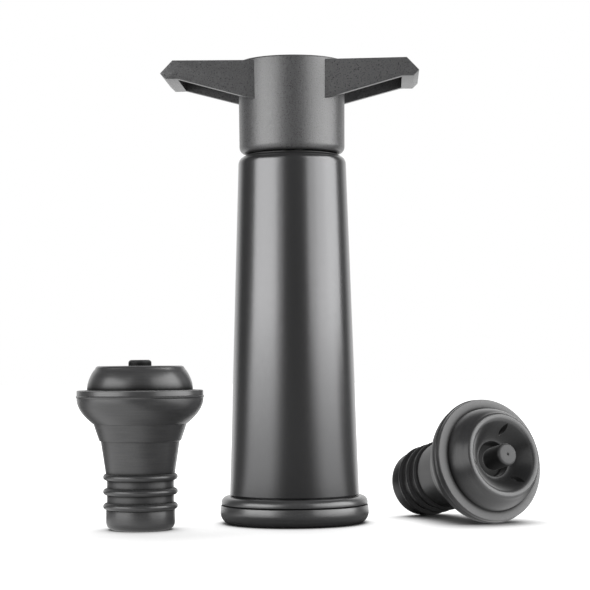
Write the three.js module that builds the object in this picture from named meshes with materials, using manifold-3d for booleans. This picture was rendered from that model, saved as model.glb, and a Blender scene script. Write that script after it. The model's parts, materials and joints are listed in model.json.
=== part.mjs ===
// A wine vacuum pump with a T handle, and its two valve stoppers, one upright and one lying on its side.
// Millimetres, +Z up. Each piece is one named mesh, and the origin is under the middle of the whole set.
import * as THREE from "three";
import { mergeVertices } from "three/addons/utils/BufferGeometryUtils.js";
import Module from "manifold-3d";

const wasm = await Module();
wasm.setup();

// Fits
const SEAT_GAP = 0.3; // between two pieces that touch on the real pump
const BUSH_GAP = 0.2; // round the rod in its bush
const SEAL_GAP = 0.2; // between the piston seal's lip and the bore
const EDGE_BREAK = 0.5; // chamfer on the small turned pieces
const CUT_OVERSHOOT = 1.0; // how far a cutter reaches past the face it opens

// Facets round a full turn
const LARGE_STEPS = 40;
const MIDDLE_STEPS = 28;
const SMALL_STEPS = 18;

// Foot
const FOOT_OVERHANG = 2.67; // how far the foot stands out beyond the sleeve
const FOOT_HEIGHT = 7.5;
const FOOT_ROUNDING_ACROSS = 2.7;
const FOOT_ROUNDING_UP = 3.2;
const FOOT_BEAD_HEIGHT = 2.35; // from the middle of the groove to the foot's top
const FOOT_GROOVE_DEPTH = 0.3;
const FOOT_GROOVE_WIDTH = 0.4;
const FOOT_BEAD_ROUNDING = 1.7;
const FOOT_FLOOR = 2.2; // thickness of the foot under the carrier

// Sleeve
const SLEEVE_BOTTOM_RADIUS = 17.9;
const SLEEVE_TOP_RADIUS = 15.0;
const SLEEVE_WALL = 0.8;
const SLEEVE_HEIGHT = 94.1;
const SHOULDER_ROUNDING = 2.35;
const SLEEVE_TURN_IN = 1.8; // how far the shoulder turns in over the collar

// Carrier
const CARRIER_WALL = 0.9; // round the gasket
const SPIGOT_WALL = 2.7; // round the cylinder
const CARRIER_SPIGOT = 6.5; // how far it stands up inside the sleeve
const CARRIER_STEP = 0.35; // its lower part is this much wider than the spigot
const WEB_THICKNESS = 1.7;

// Mouth gasket, which takes the dome of a stopper
const GASKET_DEPTH = 8.0;
const GASKET_RECESS = 0.6; // its lower edge above the table
const GASKET_SHELF = 0.3; // how far its rim hooks over the foot
const GASKET_WALL = 1.15; // outside the dome's foot
const GASKET_THROAT = 1.0; // height of the slope from the dome's top out to the bore

// Cylinder
const CYLINDER_WALL = 1.5;
const O_RING_THICKNESS = 0.7;
const O_RING_HEIGHT = 1.6; // above the cylinder's lower end

// Collar, bush and bumper
const COLLAR_FLANGE = 3.5;
const COLLAR_OVERHANG = 0.4; // how far the flange stands out over the cylinder
const COLLAR_NECK = 2.1; // flange's top below the sleeve's mouth
const COLLAR_CHAMFER = 0.4;
const COLLAR_EDGE = 0.2;
const COLLAR_PLUG = 4.0;
const COLLAR_RISE = 0.3; // above the sleeve's mouth
const BUSH_WALL = 2.0;
const BUSH_FLANGE_SHARE = 0.42; // of the way from the bush to the bore
const BUSH_FLANGE = 1.2;
const BUMPER_THICKNESS = 2.0;
const BUMPER_CLEARANCE = 0.7; // between the bumper and the bore

// Rod and its screws
const ROD_SHARE = 0.4583; // the rod's radius to the bore's
const SCREW_RADIUS = 2.0;
const SCREW_HEAD_RADIUS = 3.7;
const SCREW_HEAD_HEIGHT = 1.9;
const SCREW_CROWN_RADIUS = 2.2; // flat top of the head
const SCREW_CROWN_HEIGHT = 0.95;
const SCREW_GRIP = 8.5; // length of the shank inside the rod
const SCREW_TIP_ROOM = 2.0; // hole beyond the screw's tip
const DRIVE_WIDTH = 0.9;
const DRIVE_LENGTH = 3.8;
const DRIVE_DEPTH = 1.1;

// Piston
const PISTON_REST = 1.0; // screw head above the carrier's web, with the handle down
const PISTON_CLEARANCE = 0.6; // between the piston's upper land and the bore
const PISTON_LOWER_CLEARANCE = 1.1;
const PISTON_LAND = 1.0;
const PISTON_TOP_LAND = 2.2;
const PISTON_FLOOR = 2.0;
const SEAL_GROOVE_SHARE = 0.435; // of the way from the rod's socket to the bore
const SEAL_GROOVE_HEIGHT = 4.0;
const SEAL_BASE = 1.4;
const SEAL_LIP = 0.6;
const WASHER_RADIUS = 6.5;
const WASHER_THICKNESS = 0.8;

// Handle
const HUB_INSET = 0.35; // the hub's lower edge inside the sleeve's top
const HUB_DRAFT = 0.2; // how much wider the hub is at its top
const HUB_HEIGHT = 25.65;
const HUB_WALL = 2.2;
const HUB_BOTTOM_ROUNDING = 1.9;
const HUB_TOP_CHAMFER = 0.45;
const HUB_BOSS_WALL = 2.4;
const HUB_BOSS_RISE = 3.0; // lower end of the boss above the hub's lower edge
const HUB_WEB_DROP = 9.8; // underside of the web below the hub's top
const HUB_WEB = 3.0;
const HUB_RIB = 1.6;
const HUB_RIB_COUNT = 4;
const ARM_DROP = 0.8; // the arms' top below the hub's top
const ARM_DEPTH = 21.4; // front face to back face at the hub's middle
const ARM_FLARE = 0.056; // how far each face stands out per millimetre towards the tip
const ARM_WALL = 2.0;
const ARM_TIP = 35.5;
const ARM_END_RUN = 3.4; // from the arm's tip in to where the flat top starts
const ARM_TIP_DROP = 3.6;
const ARM_END_UNDERCUT = 1.55; // the end's lower edge inside the tip
const ARM_LAND_RUN = 4.8; // from the arm's tip in to the land's inner edge
const ARM_LAND_DROP = 5.1;
const ARM_SLOPE = 0.271;
const ARM_FILLET = 2.2;
const HANDLE_TURN = THREE.MathUtils.degToRad(-2.7);

// Hub cap
const CAP_RIM = 2.35; // hub wall round the cap's seat
const CAP_THICKNESS = 2.0;
const CAP_SINK = 0.2; // its face below the hub's top
const CAP_LEDGE = 1.9;

// Stopper, from its tail up
const STEM_RADIUS = 8.95;
const TAIL_RADIUS = 9.2;
const TAIL_HEIGHT = 5.3;
const TAIL_ROUNDING = 2.0;
const RIB_BULGE = 1.05;
const RIB_HALF_HEIGHT = 0.9;
const RIB_PITCH = 3.9;
const RIB_COUNT = 3;
const FIRST_RIB_RISE = 1.0; // middle of the lowest rib above the tail
const NECK_FOOT_RADIUS = 9.25;
const NECK_TOP_RADIUS = 10.6;
const NECK_HEIGHT = 8.7;
const NECK_STEP = 0.1; // height of the small step between neck and cup
const CUP_FOOT_RADIUS = 11.0;
const CUP_TOP_RADIUS = 12.53;
const CUP_HEIGHT = 4.65;
const BOWL_STEP = 0.17; // how far the bowl starts outside the cup
const BOWL_HEIGHT = 6.8;
const BOWL_RINGS = 4;
const LIP_BULGE = 0.3;
const LIP_RISE = 0.45; // sharp edge of the lip above the bowl's top
const LIP_SLOPE = 0.3; // height over which the lip runs back to the plate's side
const PLATE_RISE = 1.7; // plate's face above the lip's edge
const PLATE_OVERHANG = 2.8; // how far the plate stands out beyond the dome
const DOME_HEIGHT = 5.1;
const DOME_LEAN = 1.65; // how far the dome's side leans in
const DOME_RINGS = 3;
const RIM_RISE = 1.4; // rim's top above the dome's shoulder
const RIM_INSET = 1.55; // middle of the rim inside the dome's shoulder
const RIM_HALF_WIDTH = 1.0;
const RIM_HALF_HEIGHT = 0.9;
const RIM_ARC_START = 10; // degrees above level where the rim leaves the dome
const RECESS_INSET = 0.85; // recess inside the middle of the rim
const RECESS_DROP = 0.7; // top of the recess's cone below the rim's top
const RECESS_EDGE = 0.3;
const WELL_RADIUS = 4.85;
const WELL_RISE = 1.3; // top of the well above the plate's face
const WELL_DEPTH = 3.2;
const BORE_WAY_RADIUS = 5.2; // air way through the stopper's tail
const CHAMBER_INSET = 0.35; // room under the slits, inside the recess's radius
const CHAMBER_DROP = 1.2; // where the room starts, below the cup's top
const SLIT_COUNT = 3;
const SLIT_MARGIN = 0.2; // slit's ends inside the room below it
const SLIT_WIDTH = 1.5;
const SLIT_FIRST_ANGLE = THREE.MathUtils.degToRad(45);
const STOPPER_WALL = 2.4;
const SKIRT_WALL = 1.45; // wall round the well

// Valve nub
const NUB_RADIUS = 3.1;
const NUB_RISE = 1.6; // nub's top above the rim
const NUB_ROUNDING = 0.8;
const DIMPLE_RADIUS = 0.4;
const DIMPLE_DEPTH = 0.4;

// Where the set stands, seen from the pump's axis
const UPRIGHT_PLACE = new THREE.Vector2(-41.3, -17.3);
const LYING_PLATE_PLACE = new THREE.Vector2(54.1, -6.0);
const LYING_YAW = THREE.MathUtils.degToRad(-59.4);

// Heights of the pump above the table
const sleeveBottom = FOOT_HEIGHT + SEAT_GAP;
const sleeveTop = sleeveBottom + SLEEVE_HEIGHT;
const carrierBottom = FOOT_FLOOR + SEAT_GAP;
const gasketTop = GASKET_RECESS + GASKET_DEPTH;
const webBottom = gasketTop + SEAT_GAP;
const webTop = webBottom + WEB_THICKNESS;
const cylinderBottom = webTop + SEAT_GAP;
const flangeTop = sleeveTop - COLLAR_NECK;
const flangeBottom = flangeTop - COLLAR_FLANGE;
const cylinderTop = flangeBottom - SEAT_GAP;
const collarTop = sleeveTop + COLLAR_RISE;
const collarBottom = flangeBottom - COLLAR_PLUG;
const bushFlangeTop = collarBottom - SEAT_GAP;
const bumperTop = bushFlangeTop - BUSH_FLANGE - SEAT_GAP;
const hubBottom = collarTop + SEAT_GAP;
const hubTop = hubBottom + HUB_HEIGHT;
const hubWebBottom = hubTop - HUB_WEB_DROP;
const hubWebTop = hubWebBottom + HUB_WEB;
const armTop = hubTop - ARM_DROP;
const capTop = hubTop - CAP_SINK;
const capBottom = capTop - CAP_THICKNESS;
const pistonScrewHead = webTop + PISTON_REST + SCREW_HEAD_HEIGHT;
const washerTop = pistonScrewHead + SEAT_GAP + WASHER_THICKNESS;
const pistonBottom = washerTop + SEAT_GAP;
const rodBottom = pistonBottom + PISTON_FLOOR + SEAT_GAP;
const rodTop = hubWebBottom - SEAT_GAP;

// Heights of a stopper above its own foot
const firstRib = TAIL_HEIGHT + FIRST_RIB_RISE;
const neckFoot = firstRib + (RIB_COUNT - 1) * RIB_PITCH + RIB_HALF_HEIGHT;
const neckTop = neckFoot + NECK_HEIGHT;
const cupTop = neckTop + CUP_HEIGHT;
const bowlTop = cupTop + BOWL_HEIGHT;
const lipHeight = bowlTop + LIP_RISE;
const plateTop = lipHeight + PLATE_RISE;
const domeShoulder = plateTop + DOME_HEIGHT;
const rimTop = domeShoulder + RIM_RISE;
const wellTop = plateTop + WELL_RISE;
const wellFloor = wellTop - WELL_DEPTH;
const nubTop = rimTop + NUB_RISE;

// Radii of the pump that follow from their neighbours
const footRadius = SLEEVE_BOTTOM_RADIUS + FOOT_OVERHANG;
const sleeveMouthRadius = SLEEVE_TOP_RADIUS - SLEEVE_TURN_IN;
const spigotRadius = sleeveRadiusAt(webTop + CARRIER_SPIGOT) - SLEEVE_WALL - SEAT_GAP;
const carrierRadius = spigotRadius + CARRIER_STEP;
const flangeRadius = SLEEVE_TOP_RADIUS - SLEEVE_WALL - SEAT_GAP;
const cylinderRadius = Math.min(flangeRadius - COLLAR_OVERHANG, spigotRadius - SPIGOT_WALL - SEAT_GAP);
const boreRadius = cylinderRadius - CYLINDER_WALL;
const rodRadius = boreRadius * ROD_SHARE;
const gasketRadius = carrierRadius - CARRIER_WALL - SEAT_GAP;
const footMouthRadius = gasketRadius - GASKET_SHELF + SEAT_GAP;
const rodSocketRadius = rodRadius + SEAT_GAP;
const screwHoleRadius = SCREW_RADIUS + SEAT_GAP;
const rodHoleDepth = SCREW_GRIP + SCREW_TIP_ROOM;
const bushRadius = rodRadius + BUSH_GAP + BUSH_WALL;
const sealGrooveRadius = THREE.MathUtils.lerp(rodSocketRadius, boreRadius, SEAL_GROOVE_SHARE);
const hubBottomRadius = SLEEVE_TOP_RADIUS - HUB_INSET;
const hubTopRadius = hubBottomRadius + HUB_DRAFT;
const capRadius = hubTopRadius - CAP_RIM - SEAT_GAP;

// Radii of a stopper that follow from the pump's mouth
const domeFootRadius = gasketRadius - GASKET_WALL - SEAT_GAP;
const rimRadius = domeFootRadius - DOME_LEAN - RIM_INSET;
const recessRadius = rimRadius - RECESS_INSET;
const chamberRadius = recessRadius - CHAMBER_INSET;
const skirtRadius = WELL_RADIUS + SKIRT_WALL;
const plateRadius = domeFootRadius + PLATE_OVERHANG;
const lipRadius = plateRadius + LIP_BULGE;

// The sleeve's outer radius at a height, without its shoulder.
function sleeveRadiusAt(z) {
  const share = (z - sleeveBottom) / (SLEEVE_HEIGHT - SHOULDER_ROUNDING);
  return THREE.MathUtils.lerp(SLEEVE_BOTTOM_RADIUS, SLEEVE_TOP_RADIUS, share);
}

// The dome's radius at a share of its height.
function domeRadiusAt(share) {
  return domeFootRadius - DOME_LEAN * share * share;
}

// The bowl's radius at a share of its height down from the lip.
function bowlRadiusAt(share) {
  return plateRadius - (plateRadius - CUP_TOP_RADIUS - BOWL_STEP) * share * share;
}

// Points [r, z] of an elliptical arc from one angle to another, in degrees.
function arc(r, z, across, up, from, to, steps) {
  return Array.from({ length: steps + 1 }, (_, i) => {
    const angle = THREE.MathUtils.degToRad(THREE.MathUtils.lerp(from, to, i / steps));
    return [r + across * Math.cos(angle), z + up * Math.sin(angle)];
  });
}

// A closed geometry as a solid: equal corners merged, and faces that shrank to a line left out.
function solidOf(geometry) {
  const bare = new THREE.BufferGeometry().setAttribute("position", geometry.getAttribute("position"));
  bare.setIndex(geometry.index);
  const merged = mergeVertices(bare, 1e-4);
  const corners = merged.index.array;
  const kept = [];
  for (let i = 0; i < corners.length; i += 3) {
    const [a, b, c] = corners.subarray(i, i + 3);
    if (a !== b && b !== c && c !== a) kept.push(a, b, c);
  }
  return new wasm.Manifold(
    new wasm.Mesh({
      numProp: 3,
      vertProperties: merged.attributes.position.array,
      triVerts: new Uint32Array(kept),
    }),
  );
}

// A solid as a geometry that three.js can shade.
function geometryOf(solid) {
  const mesh = solid.getMesh();
  const geometry = new THREE.BufferGeometry();
  geometry.setAttribute("position", new THREE.BufferAttribute(mesh.vertProperties, 3));
  geometry.setIndex(new THREE.BufferAttribute(mesh.triVerts, 1));
  geometry.computeVertexNormals();
  return geometry;
}

// A closed outline of [r, z] points, counterclockwise, turned about the Z axis into a solid.
function turned(outline, steps) {
  const points = [...outline, outline[0]].map(([r, z]) => new THREE.Vector2(r, z));
  const lathe = new THREE.LatheGeometry(points, steps);
  lathe.rotateX(Math.PI / 2);
  return solidOf(lathe);
}

// A flat shape in X and Z pushed out along Y, centred on Y.
function pushedAlongY(shape, depth) {
  const geometry = new THREE.ExtrudeGeometry(shape, { depth, bevelEnabled: false, curveSegments: 4 });
  geometry.translate(0, 0, -depth / 2);
  geometry.rotateX(Math.PI / 2);
  return solidOf(geometry);
}

// A box by its centre and sizes.
function block(x, y, z, centreX, centreY, centreZ) {
  const geometry = new THREE.BoxGeometry(x, y, z);
  geometry.translate(centreX, centreY, centreZ);
  return solidOf(geometry);
}

// A named mesh with its own finish.
function piece(name, solid, colour, roughness, metalness = 0) {
  const material = new THREE.MeshStandardMaterial({ color: colour, roughness, metalness });
  const mesh = new THREE.Mesh(geometryOf(solid), material);
  mesh.name = name;
  return mesh;
}

// Round foot: rounded lower edge, a fine groove and a bead under the sleeve.
function footSolid() {
  const side = footRadius - FOOT_ROUNDING_ACROSS;
  const groove = FOOT_HEIGHT - FOOT_BEAD_HEIGHT;
  const grooveRadius = footRadius - FOOT_GROOVE_DEPTH;
  const beadRadius = footRadius - FOOT_GROOVE_DEPTH / 2;
  const bead = FOOT_HEIGHT - FOOT_BEAD_ROUNDING;
  return turned(
    [
      [footMouthRadius, 0],
      ...arc(side, FOOT_ROUNDING_UP, FOOT_ROUNDING_ACROSS, FOOT_ROUNDING_UP, -90, 0, 4),
      [beadRadius, groove - FOOT_GROOVE_WIDTH / 2],
      [grooveRadius - FOOT_GROOVE_DEPTH, groove],
      [grooveRadius, groove + FOOT_GROOVE_WIDTH / 2],
      ...arc(grooveRadius - FOOT_BEAD_ROUNDING, bead, FOOT_BEAD_ROUNDING, FOOT_BEAD_ROUNDING, 0, 90, 3),
      [carrierRadius + SEAT_GAP, FOOT_HEIGHT],
      [carrierRadius + SEAT_GAP, FOOT_FLOOR],
      [footMouthRadius, FOOT_FLOOR],
    ],
    LARGE_STEPS,
  );
}

// Tapered sheet metal sleeve whose top turns in over the collar.
function sleeveSolid() {
  const shoulder = sleeveTop - SHOULDER_ROUNDING;
  const centre = SLEEVE_TOP_RADIUS - SHOULDER_ROUNDING;
  const inside = SHOULDER_ROUNDING - SLEEVE_WALL;
  const mouth = sleeveMouthRadius - centre;
  const outerEnd = THREE.MathUtils.radToDeg(Math.acos(mouth / SHOULDER_ROUNDING));
  const innerEnd = THREE.MathUtils.radToDeg(Math.acos(mouth / inside));
  return turned(
    [
      [SLEEVE_BOTTOM_RADIUS, sleeveBottom],
      ...arc(centre, shoulder, SHOULDER_ROUNDING, SHOULDER_ROUNDING, 0, outerEnd, 4),
      ...arc(centre, shoulder, inside, inside, 0, innerEnd, 3).reverse(),
      [SLEEVE_BOTTOM_RADIUS - SLEEVE_WALL, sleeveBottom],
    ],
    LARGE_STEPS,
  );
}

// Ring that carries the cylinder above its web and holds the gasket below it.
function carrierSolid() {
  const pocket = gasketRadius + SEAT_GAP;
  const socket = cylinderRadius + SEAT_GAP;
  const top = webTop + CARRIER_SPIGOT;
  return turned(
    [
      [pocket, carrierBottom],
      [carrierRadius, carrierBottom],
      [carrierRadius, FOOT_HEIGHT],
      [spigotRadius, FOOT_HEIGHT],
      [spigotRadius, top],
      [socket, top],
      [socket, webTop],
      [boreRadius + SEAT_GAP, webTop],
      [boreRadius + SEAT_GAP, webBottom],
      [pocket, webBottom],
    ],
    MIDDLE_STEPS,
  );
}

// Rubber ring whose inner face follows the stopper's dome.
function gasketSolid() {
  const lowerRadius = footMouthRadius - SEAT_GAP;
  const shelf = carrierBottom;
  const throat = GASKET_RECESS + DOME_HEIGHT;
  return turned(
    [
      [domeFootRadius + SEAT_GAP, GASKET_RECESS],
      [lowerRadius, GASKET_RECESS],
      [lowerRadius, shelf],
      [gasketRadius, shelf],
      [gasketRadius, gasketTop],
      [boreRadius + SEAT_GAP, gasketTop],
      [boreRadius + SEAT_GAP, throat + GASKET_THROAT],
      [domeRadiusAt(1) + SEAT_GAP, throat],
      [domeRadiusAt(1 / 2) + SEAT_GAP, GASKET_RECESS + DOME_HEIGHT / 2],
    ],
    MIDDLE_STEPS,
  );
}

// Plain tube with a groove for the O-ring near its lower end.
function cylinderSolid() {
  const ring = cylinderBottom + O_RING_HEIGHT;
  const half = O_RING_THICKNESS / 2 + SEAT_GAP / 2;
  const groove = cylinderRadius - O_RING_THICKNESS;
  return turned(
    [
      [boreRadius, cylinderBottom],
      [cylinderRadius, cylinderBottom],
      [cylinderRadius, ring - half],
      [groove, ring - half],
      [groove, ring + half],
      [cylinderRadius, ring + half],
      [cylinderRadius, cylinderTop],
      [boreRadius, cylinderTop],
    ],
    MIDDLE_STEPS,
  );
}

// Round ring that lies in the cylinder's groove and seals in the carrier.
function oRingSolid() {
  const half = O_RING_THICKNESS / 2;
  const radius = cylinderRadius + SEAT_GAP / 2 - half;
  const section = arc(radius, cylinderBottom + O_RING_HEIGHT, half, half, 0, 360, 6);
  return turned(section.slice(0, -1), MIDDLE_STEPS);
}

// Plug and flange that close the cylinder, with a neck through the sleeve's mouth.
function collarSolid() {
  const hole = bushRadius + SEAT_GAP;
  const neck = sleeveMouthRadius - SEAT_GAP;
  return turned(
    [
      [hole, collarBottom],
      [boreRadius - SEAT_GAP, collarBottom],
      [boreRadius - SEAT_GAP, flangeBottom],
      [flangeRadius, flangeBottom],
      [flangeRadius, flangeTop - COLLAR_CHAMFER],
      [neck, flangeTop],
      [neck, collarTop - COLLAR_EDGE],
      [neck - COLLAR_EDGE, collarTop],
      [hole, collarTop],
    ],
    MIDDLE_STEPS,
  );
}

// Flanged bush that guides the rod.
function bushSolid() {
  const hole = rodRadius + BUSH_GAP;
  const flange = THREE.MathUtils.lerp(bushRadius, boreRadius, BUSH_FLANGE_SHARE);
  const bottom = bushFlangeTop - BUSH_FLANGE;
  const top = collarTop - EDGE_BREAK;
  return turned(
    [
      [hole, bottom],
      [flange, bottom],
      [flange, bushFlangeTop],
      [bushRadius, bushFlangeTop],
      [bushRadius, top],
      [hole + EDGE_BREAK, top],
      [hole, top - EDGE_BREAK],
    ],
    SMALL_STEPS,
  );
}

// Soft washer that the piston meets at the end of the pull.
function bumperSolid() {
  const hole = rodRadius + 2 * SEAT_GAP;
  const radius = boreRadius - BUMPER_CLEARANCE;
  const bottom = bumperTop - BUMPER_THICKNESS;
  return turned(
    [
      [hole, bottom],
      [radius - EDGE_BREAK, bottom],
      [radius, bottom + EDGE_BREAK],
      [radius, bumperTop],
      [hole, bumperTop],
    ],
    SMALL_STEPS,
  );
}

// Round rod with a screw hole in each end.
function rodSolid() {
  return turned(
    [
      [0, rodBottom + rodHoleDepth],
      [screwHoleRadius, rodBottom + rodHoleDepth],
      [screwHoleRadius, rodBottom],
      [rodRadius - EDGE_BREAK, rodBottom],
      [rodRadius, rodBottom + EDGE_BREAK],
      [rodRadius, rodTop - EDGE_BREAK],
      [rodRadius - EDGE_BREAK, rodTop],
      [screwHoleRadius, rodTop],
      [screwHoleRadius, rodTop - rodHoleDepth],
      [0, rodTop - rodHoleDepth],
    ],
    MIDDLE_STEPS,
  );
}

// Screw along +Z with its head's flat underside at z = 0 and the shank above it.
function screwSolid(shank) {
  const head = turned(
    [
      [0, -SCREW_HEAD_HEIGHT],
      [SCREW_CROWN_RADIUS, -SCREW_HEAD_HEIGHT],
      [SCREW_HEAD_RADIUS, SCREW_CROWN_HEIGHT - SCREW_HEAD_HEIGHT],
      [SCREW_HEAD_RADIUS, 0],
      [SCREW_RADIUS, 0],
      [SCREW_RADIUS, shank - SCREW_RADIUS / 2],
      [SCREW_RADIUS / 2, shank],
      [0, shank],
    ],
    SMALL_STEPS,
  );
  const slot = block(DRIVE_LENGTH, DRIVE_WIDTH, 2 * DRIVE_DEPTH, 0, 0, -SCREW_HEAD_HEIGHT);
  return head.subtract(slot).subtract(slot.rotate([0, 0, 90]));
}

// Spool that carries the cup seal, with a socket for the rod.
function pistonSolid() {
  const grooveBottom = pistonBottom + PISTON_LAND;
  const grooveTop = grooveBottom + SEAL_GROOVE_HEIGHT;
  const top = grooveTop + PISTON_TOP_LAND;
  const floor = pistonBottom + PISTON_FLOOR;
  const upper = boreRadius - PISTON_CLEARANCE;
  const lower = boreRadius - PISTON_LOWER_CLEARANCE;
  return turned(
    [
      [screwHoleRadius, pistonBottom],
      [lower, pistonBottom],
      [lower, grooveBottom],
      [sealGrooveRadius, grooveBottom],
      [sealGrooveRadius, grooveTop],
      [upper, grooveTop],
      [upper, top],
      [rodSocketRadius, top],
      [rodSocketRadius, floor],
      [screwHoleRadius, floor],
    ],
    MIDDLE_STEPS,
  );
}

// Cup seal: a flat base in the piston's groove and a lip that flares upwards to the bore.
function sealSolid() {
  const inner = sealGrooveRadius + SEAT_GAP;
  const outer = boreRadius - SEAL_GAP;
  const bottom = pistonBottom + PISTON_LAND + SEAT_GAP;
  const top = bottom + SEAL_GROOVE_HEIGHT - 2 * SEAT_GAP;
  return turned(
    [
      [inner, bottom],
      [outer - SEAL_LIP, bottom],
      [outer, top - SEAL_LIP],
      [outer, top],
      [outer - SEAL_LIP, top],
      [outer - 2 * SEAL_LIP, bottom + SEAL_BASE],
      [inner, bottom + SEAL_BASE],
    ],
    MIDDLE_STEPS,
  );
}

// Flat washer under the piston.
function washerSolid() {
  const bottom = washerTop - WASHER_THICKNESS;
  return turned(
    [
      [screwHoleRadius, bottom],
      [WASHER_RADIUS, bottom],
      [WASHER_RADIUS, washerTop],
      [screwHoleRadius, washerTop],
    ],
    SMALL_STEPS,
  );
}

// One arm seen from the front, from the axis out: the right one, or with side -1 the left one.
function armShape(side) {
  const land = armTop - ARM_LAND_DROP;
  const landEdge = ARM_TIP - ARM_LAND_RUN;
  const slopeEnd = side * (landEdge - ARM_FILLET);
  const shape = new THREE.Shape();
  shape.moveTo(0, armTop);
  shape.lineTo(side * (ARM_TIP - ARM_END_RUN), armTop);
  shape.lineTo(side * ARM_TIP, armTop - ARM_TIP_DROP);
  shape.lineTo(side * (ARM_TIP - ARM_END_UNDERCUT), land);
  shape.lineTo(side * (landEdge + ARM_FILLET / 2), land);
  shape.quadraticCurveTo(side * landEdge, land, slopeEnd, land - ARM_SLOPE * ARM_FILLET);
  shape.lineTo(0, land - ARM_SLOPE * landEdge);
  return shape;
}

// One arm's solid or its hollow, whose faces lie a wall inside the arm's own and flare with them.
function flared(shape, wall) {
  const half = ARM_DEPTH / 2 - wall;
  return pushedAlongY(shape, 2 * half).warp((corner) => {
    corner[1] *= 1 + (ARM_FLARE * Math.abs(corner[0])) / half;
  });
}

// The room inside one arm, open below.
function armHollow(side) {
  const roof = armTop - ARM_WALL;
  const landEdge = ARM_TIP - ARM_LAND_RUN;
  const under = armTop - ARM_LAND_DROP - ARM_SLOPE * landEdge - ARM_WALL;
  const shape = new THREE.Shape();
  shape.moveTo(0, roof);
  shape.lineTo(side * (landEdge - ARM_FILLET / 2), roof);
  shape.lineTo(side * landEdge, roof - ARM_FILLET / 2);
  shape.lineTo(side * landEdge, under);
  shape.lineTo(0, under);
  return shape;
}

// Handle: hub and two hollow arms in one moulding.
function handleSolid() {
  const [right, left] = [1, -1].map((side) =>
    flared(armShape(side), 0).subtract(flared(armHollow(side), ARM_WALL)),
  );
  const hub = turned(
    [
      [0, hubBottom],
      ...arc(
        hubBottomRadius - HUB_BOTTOM_ROUNDING,
        hubBottom + HUB_BOTTOM_ROUNDING,
        HUB_BOTTOM_ROUNDING,
        HUB_BOTTOM_ROUNDING,
        -90,
        0,
        4,
      ),
      [hubTopRadius, hubTop - HUB_TOP_CHAMFER],
      [hubTopRadius - HUB_TOP_CHAMFER, hubTop],
      [0, hubTop],
    ],
    LARGE_STEPS,
  );
  return right.add(left).add(hub).subtract(hubRoomBelow()).subtract(hubRoomAbove()).add(hubRibs());
}

// Ring-shaped room round the boss, with the rod's socket in the middle.
function hubRoomBelow() {
  const under = hubBottom - CUT_OVERSHOOT;
  const boss = rodSocketRadius + HUB_BOSS_WALL;
  const wall = hubBottomRadius - HUB_WALL;
  const bossBottom = hubBottom + HUB_BOSS_RISE;
  return turned(
    [
      [0, under],
      [wall, under],
      [wall, hubWebBottom],
      [boss, hubWebBottom],
      [boss, bossBottom],
      [rodSocketRadius, bossBottom],
      [rodSocketRadius, hubWebBottom],
      [0, hubWebBottom],
    ],
    MIDDLE_STEPS,
  );
}

// Room above the web for the screw's head, and the wider seat of the cap.
function hubRoomAbove() {
  const seat = capRadius + SEAT_GAP;
  const ledge = capBottom - SEAT_GAP;
  const under = hubWebBottom - CUT_OVERSHOOT;
  const over = hubTop + CUT_OVERSHOOT;
  return turned(
    [
      [0, under],
      [screwHoleRadius, under],
      [screwHoleRadius, hubWebTop],
      [seat - CAP_LEDGE, hubWebTop],
      [seat - CAP_LEDGE, ledge],
      [seat, ledge],
      [seat, over],
      [0, over],
    ],
    MIDDLE_STEPS,
  );
}

// Ribs from the boss to the hub's wall, between the arms.
function hubRibs() {
  const inner = rodSocketRadius + HUB_BOSS_WALL / 2;
  const outer = hubBottomRadius - HUB_WALL / 2;
  const bottom = hubBottom + HUB_BOSS_RISE;
  const height = hubWebBottom + HUB_WEB / 2 - bottom;
  const rib = block(outer - inner, HUB_RIB, height, (inner + outer) / 2, 0, bottom + height / 2);
  const ribs = Array.from({ length: HUB_RIB_COUNT }, (_, i) =>
    rib.rotate([0, 0, ((i + 1 / 2) * 360) / HUB_RIB_COUNT]),
  );
  return ribs.reduce((solid, each) => solid.add(each));
}

// Round cap, level with the hub's top.
function capSolid() {
  return turned(
    [
      [0, capBottom],
      [capRadius, capBottom],
      [capRadius, capTop - EDGE_BREAK],
      [capRadius - EDGE_BREAK, capTop],
      [0, capTop],
    ],
    MIDDLE_STEPS,
  );
}

// One sealing rib of the stopper's stem, as points of its outline from the bottom up.
function ribOutline(height) {
  return arc(STEM_RADIUS, height, RIB_BULGE, RIB_HALF_HEIGHT, -90, 90, 3);
}

// Height of the recess's cone at a radius.
function coneHeight(r) {
  return THREE.MathUtils.mapLinear(r, WELL_RADIUS, recessRadius, wellTop, rimTop - RECESS_DROP);
}

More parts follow.
